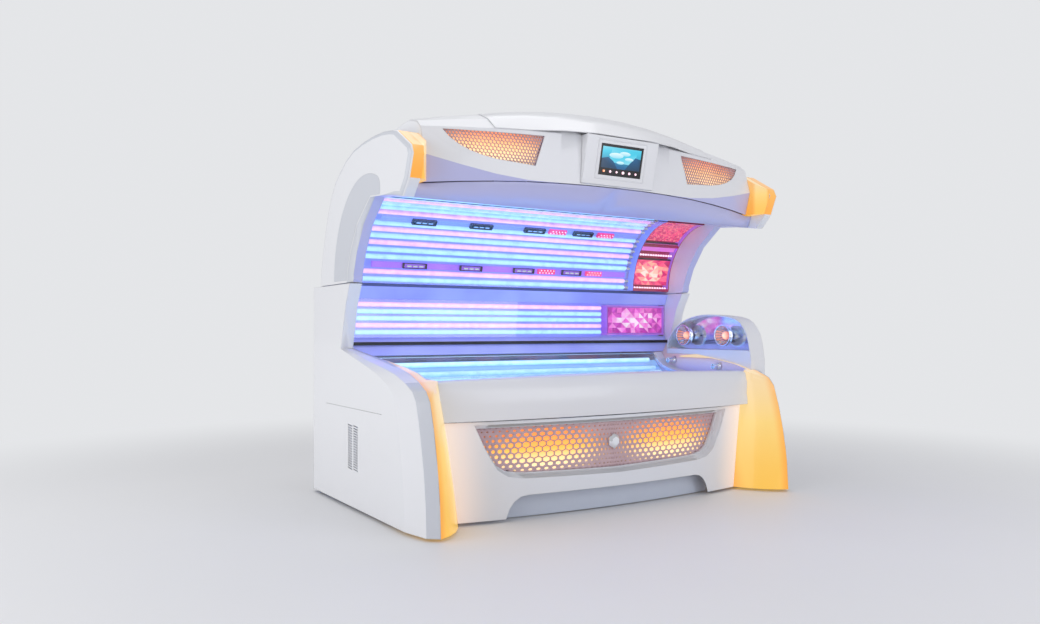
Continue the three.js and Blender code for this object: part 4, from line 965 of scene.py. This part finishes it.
def honeycomb(name, node, column_x, row_z, columns, rows, hole, thickness, inside):
    """A sheet of cells for a CAD grille. hole gives a cell's open share, inside says which are kept."""
    comb = Honeycomb(node, column_x, row_z, thickness)
    for row in rows:
        shift = 0.5 if row % 2 else 0.0
        for column in columns:
            place = (column_x(column + shift), row_z(row))
            if inside(*place):
                comb.cell(column + shift, row, hole(*place))
    faces = comb.faces + [quads[0] for quads in comb.edges.values() if len(quads) == 1]
    piece(name, comb.verts, faces, MAUVE, body_of[node], slot_of[node], (node,), ROUND)


def sine_place(number, count, middle, half, widest):
    """The place of a column or row out of count: closer together towards both ends, as on a round face."""
    share = max(-1.0, min(1.0, 2 * number / count - 1))
    return middle + half * math.sin(widest * share) / math.sin(widest)


def front_grille():
    low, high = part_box("front_grille")
    middle_z, half_z = (low.z + high.z) / 2, (high.z - low.z) / 2
    lobe = high.x / 2
    per_half, row_count, spare, slope, thickness = 24, 12, 0.004, 0.46, 0.014
    widest, highest = math.radians(74), math.radians(60)

    def column_x(column):
        return math.copysign(sine_place(abs(column), per_half, lobe, lobe, widest), column)

    def row_z(row):
        return sine_place(row, row_count, middle_z, half_z, highest)

    def hole(x, z):
        away = math.hypot((abs(x) - lobe) / lobe, (z - middle_z) / half_z)
        return np.interp(away, (0.35, 1.0), (0.86, 0.30))

    def inside(x, z):
        return low.z - spare < z < high.z + spare and abs(x) < high.x + spare - slope * (high.z - z)

    columns, rows = range(-per_half, per_half + 1), range(row_count + 1)
    honeycomb("front_honeycomb", "front_grille", column_x, row_z, columns, rows, hole, thickness, inside)
    stops = [(0.1, (1.0, 0.80, 0.46)), (0.5, (1.0, 0.44, 0.06)), (0.85, (1.0, 0.24, 0.04))]
    half = (lobe * 1.02, half_z * 1.05)
    light = grille_light("front_grille_light", (lobe, middle_z), half, mirrored=True, stops=stops, rim=0.05)
    dress("front_light_box", light)


def canopy_grille(side):
    node = f"canopy_grille_{side}"
    low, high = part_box(node)
    middle = ((low.x + high.x) / 2, (low.z + high.z) / 2)
    half = ((high.x - low.x) / 2, (high.z - low.z) / 2)
    column_count, row_count, inset, thickness = 34, 13, 0.012, 0.008
    widest = math.radians(55)
    sheet = surface_of(node)

    def column_x(column):
        return sine_place(column, column_count, middle[0], half[0], widest)

    def row_z(row):
        return sine_place(row, row_count, middle[1], half[1], widest)

    def inside(x, z):
        """True where the CAD grille reaches past the place on every side."""
        around = ((-inset, 0.0), (inset, 0.0), (0.0, -inset), (0.0, inset))
        return all(sheet.ray_cast(Vector((x + a, FAR_FRONT, z + b)), REARWARD)[0] for a, b in around)

    def hole(x, z):
        away = math.hypot((x - middle[0]) / half[0], (z - middle[1]) / half[1])
        return np.interp(away, (0.4, 1.4), (0.82, 0.47))

    columns, rows = range(column_count + 1), range(row_count + 1)
    honeycomb(f"canopy_honeycomb_{side}", node, column_x, row_z, columns, rows, hole, thickness, inside)
    light_panel(side, middle, half)


def light_panel(side, middle, half):
    """A lit sheet behind a canopy grille, of the same shape but smaller."""
    behind, smaller = 0.014, (0.93, 1.0, 0.90, 1.0)
    stops = [(0.1, (1.0, 0.78, 0.48)), (0.55, (1.0, 0.62, 0.30)), (0.95, (0.95, 0.28, 0.14))]
    reach = (half[0] * 1.1, half[1] * 1.15)
    name = f"canopy_grille_light_{side}"
    light = grille_light(name, middle, reach, mirrored=False, stops=stops, rim=0.25)
    mesh = frame["nodes"][f"canopy_grille_{side}"].data.copy()
    mesh.materials.clear()
    centre = Vector((middle[0], 0.0, middle[1]))
    shrink = Matrix.Translation(centre) @ Matrix.Diagonal(smaller) @ Matrix.Translation(-centre)
    mesh.transform(Matrix.Translation((0.0, behind, 0.0)) @ shrink)
    settle(f"canopy_light_panel_{side}", mesh, light, "canopy", "glow_panel")


# Display
def display():
    low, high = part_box("display_screen")
    glass = surface_of("display_screen")
    inset, icon_band, icon_z = 0.012, 0.036, 0.020
    left, right = low.x + inset, high.x - inset
    dress("display_screen", GLASS_BLACK)
    screen_picture(glass, left, right, low.z + icon_band, high.z - inset)
    screen_icons(glass, left, right, low.z + icon_z)
    display_bezel(low, high)


def screen_picture(glass, left, right, bottom, top):
    """A lake, dark shores and clouds, in flat shapes on the glass."""
    picture = Build()
    proud = 0.0004

    def shape(outline, tones, layer):
        """Corners are shares of the picture."""
        loop = [(left + (right - left) * u, bottom + (top - bottom) * v) for u, v in outline]
        verts = [off_front(glass, x, z, out) for out in (0.0, layer * proud) for x, z in loop]
        picture.add(verts, prism_faces(2, len(loop)), list(tones) * 2)

    shape([(0, 0), (1, 0), (1, 1), (0, 1)], (0.30, 0.35, 0.62, 0.68), 1)
    shape([(0.18, 0.30), (0.84, 0.24), (0.90, 0.86), (0.24, 0.92)], (0.62, 0.74, 0.58, 0.66), 2)
    shape([(0, 0), (0.42, 0), (0.30, 0.34), (0.16, 0.52), (0, 0.44)], (0.05, 0.12, 0.22, 0.28, 0.10), 3)
    shape([(0.62, 0), (1, 0), (1, 0.56), (0.86, 0.62), (0.72, 0.30)], (0.10, 0.05, 0.15, 0.30, 0.20), 3)
    for u, v, reach in ((0.36, 0.62, 0.13), (0.58, 0.74, 0.10), (0.70, 0.50, 0.08), (0.48, 0.30, 0.07)):
        cloud = [(u + reach * a * 1.4, v + reach * b) for a, b in circle(16)]
        shape(cloud, [0.86 + 0.14 * b for _, b in circle(16)], 4)
    picture.finish("screen_picture", picture_light(), "canopy", "screen_glass", (), None, "tone")


def screen_icons(glass, left, right, z):
    """A row of plain icons, the first of them warm."""
    icons, lead, count = Build(), Build(), 6
    for k in range(count):
        x = left + (right - left) * (k + 0.5) / count
        centre = off_front(glass, x, z, 0.0)
        normal = off_front(glass, x, z, 1.0) - centre
        radius = 0.008 - 0.001 * (k % 3)
        (lead if k == 0 else icons).dome(centre, radius, normal, sides=4 + k)
    icons.finish("screen_icons", LED_WHITE, "canopy", "screen_glass", (), None, "core")
    lead.finish("screen_icon_lead", WARM_LAMP, "canopy", "screen_glass", (), None, "core")


def display_bezel(low, high):
    housing = surface_of("display_housing")
    gap, width, proud = 0.016, 0.006, 0.002
    build = Build()
    inner = (low.x - gap, low.z - gap, high.x + gap, high.z + gap)
    outer = (inner[0] - width, inner[1] - width, inner[2] + width, inner[3] + width)
    bars = ((outer[0], outer[1], inner[0], outer[3]), (inner[2], outer[1], outer[2], outer[3]),
            (inner[0], outer[1], inner[2], inner[1]), (inner[0], inner[3], inner[2], outer[3]))
    for x0, z0, x1, z1 in bars:
        build.box(lambda a, b, c: off_front(housing, (x0, x1)[a], (z0, z1)[b], (-proud, proud)[c]))
    round_edges(build.finish("display_bezel", WHITE, "canopy", slot_of["display_housing"]), 0.001)


# Head console
def console():
    for end in ("front", "rear"):
        node = f"console_bulb_{end}"
        low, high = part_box(node)
        obj = dress(node, WARM_LAMP, 60)
        centre = (low + high) / 2
        shares = [(centre.x - v.co.x) / (centre.x - low.x) for v in obj.data.vertices]
        mark(obj.data, "core", [max(0.0, min(1.0, share)) for share in shares])
        bowl_ribs(end, centre)
        bowl_rim(end, centre)


def bowl_ribs(end, centre):
    """Pressed ribs in the bowl behind a console bulb."""
    front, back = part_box("console_reflector")[0].x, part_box("console_bulb_front")[1].x
    count, height, half_turn, stations = 22, 0.005, 0.055, (24, 40, 56, 72, 86)

    def on_bowl(share, turn, inset):
        reach = (BOWL_RADIUS - inset) * math.sin(share)
        x = front + (back - front - inset) * math.cos(share)
        return (x, centre.y + reach * math.cos(turn), centre.z + reach * math.sin(turn))

    ribs = Build()
    faces = turned(prism_faces(len(stations), 3))
    for k in range(count):
        turn = 2 * math.pi * k / count
        section = ((turn - half_turn, 0.0), (turn, height), (turn + half_turn, 0.0))
        ribs.add([on_bowl(math.radians(share), *place) for share in stations for place in section], faces)
    ribs.finish(f"console_bowl_ribs_{end}", CHROME, "base", "chrome_trim")


def bowl_rim(end, centre):
    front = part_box("console_reflector")[0].x
    steps, sides, bead = 40, 8, 0.0035
    verts = []
    for y, z in circle(steps):
        for a, b in circle(sides):
            reach = BOWL_RADIUS - bead + bead * a
            verts.append((front + bead + bead * b, centre.y + reach * y, centre.z + reach * z))
    faces = ring_faces(steps, sides, looped=True)
    piece(f"console_bowl_rim_{end}", verts, faces, CHROME, "base", "chrome_trim", (), ROUND)


# Seams of the end covers
def cover_seams():
    z, y0, y1, dash, gap = 0.520, -0.26, 0.54, 0.022, 0.012
    width, proud, sunk = 0.002, 0.0004, 0.002
    for side, node in ((1, "right_end_cover"), (-1, "left_end_cover")):
        low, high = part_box(node)
        x = high.x if side > 0 else low.x
        across = (x - side * sunk, x + side * proud)
        build = Build()
        for k in range(int((y1 - y0) / (dash + gap))):
            start = y0 + k * (dash + gap)
            build.box(lambda a, b, c: (across[a], start + dash * b, z + width * (c - 0.5)))
        build.finish(f"{node}_seam", DARK, "base", "dark_plastic")


# Stage, light and camera
def studio_floor():
    """A floor that fades to the backdrop's colour between two distances."""
    near, far = 1.6, 5.0
    shade = Shader("studio_floor", Roughness=0.55)
    shade.mottle(0.6, (0.80, 0.80, 0.81), (0.82, 0.82, 0.83))
    distance = shade.add("VectorMath", {"operation": "LENGTH"})
    shade.join(shade.place(), distance, 0)
    shade.blend(shade.spread(distance.outputs["Value"], near, far), shade.add("Emission", Color=BACKDROP))
    reach, sides = 60.0, 64
    mesh = bpy.data.meshes.new("studio_floor")
    mesh.from_pydata([(reach * a, reach * b, 0.0) for a, b in circle(sides)], [], [tuple(range(sides))])
    mesh.materials.append(shade.material)
    floor = linked("studio_floor", mesh)


def studio_world():
    """The camera sees the plain backdrop, and other rays get a softer light."""
    world = bpy.data.worlds.new("studio")
    bpy.context.scene.world = world
    world.use_nodes = True
    nodes, links = world.node_tree.nodes, world.node_tree.links
    nodes.clear()
    mix = nodes.new("ShaderNodeMixShader")
    links.new(nodes.new("ShaderNodeLightPath").outputs["Is Camera Ray"], mix.inputs[0])
    for index, (colour, strength) in enumerate((((0.95, 0.96, 1.0, 1.0), 0.54), (BACKDROP, 1.0)), start=1):
        light = nodes.new("ShaderNodeBackground")
        light.inputs["Color"].default_value = colour
        light.inputs["Strength"].default_value = strength
        links.new(light.outputs[0], mix.inputs[index])
    links.new(mix.outputs[0], nodes.new("ShaderNodeOutputWorld").inputs["Surface"])


def studio_light(name, place, size, power, tint=(1.0, 1.0, 1.0)):
    target = Vector((0.0, 0.0, 0.9))
    light = bpy.data.lights.new(name, "AREA")
    light.size = size
    light.energy = power
    light.color = tint
    lamp = linked(name, light)
    lamp.location = place
    lamp.rotation_euler = (target - Vector(place)).to_track_quat("-Z", "Y").to_euler()


def studio():
    studio_floor()
    studio_world()
    studio_light("key", (-5.0, -0.4, 1.6), size=5.0, power=104.0)
    studio_light("fill", (1.6, -5.0, 2.2), size=3.0, power=50.0, tint=(0.91, 0.92, 1.0))
    studio_light("top", (0.2, 0.4, 4.8), size=4.0, power=57.0)
    bpy.context.scene.view_settings.view_transform = "Standard"


def camera():
    """Fitted to the photograph's edges."""
    image_width, horizon_below_centre = 1040, 18.8
    lens = bpy.data.cameras.new("photo_camera")
    lens.lens = 29.44
    lens.shift_y = horizon_below_centre / image_width
    obj = linked("photo_camera", lens)
    obj.location = (-2.753, -4.030, 0.917)
    obj.rotation_euler = (math.pi / 2, 0.0, math.radians(-31.91))
    bpy.context.scene.camera = obj


camera()
studio()
dress_shells()
canopy_lamps()
side_lamps()
bench_lamps()
canopy_jets()
face_module()
shoulder_module()
front_grille()
for grille_side in ("right", "left"):
    canopy_grille(grille_side)
display()
console()
cover_seams()
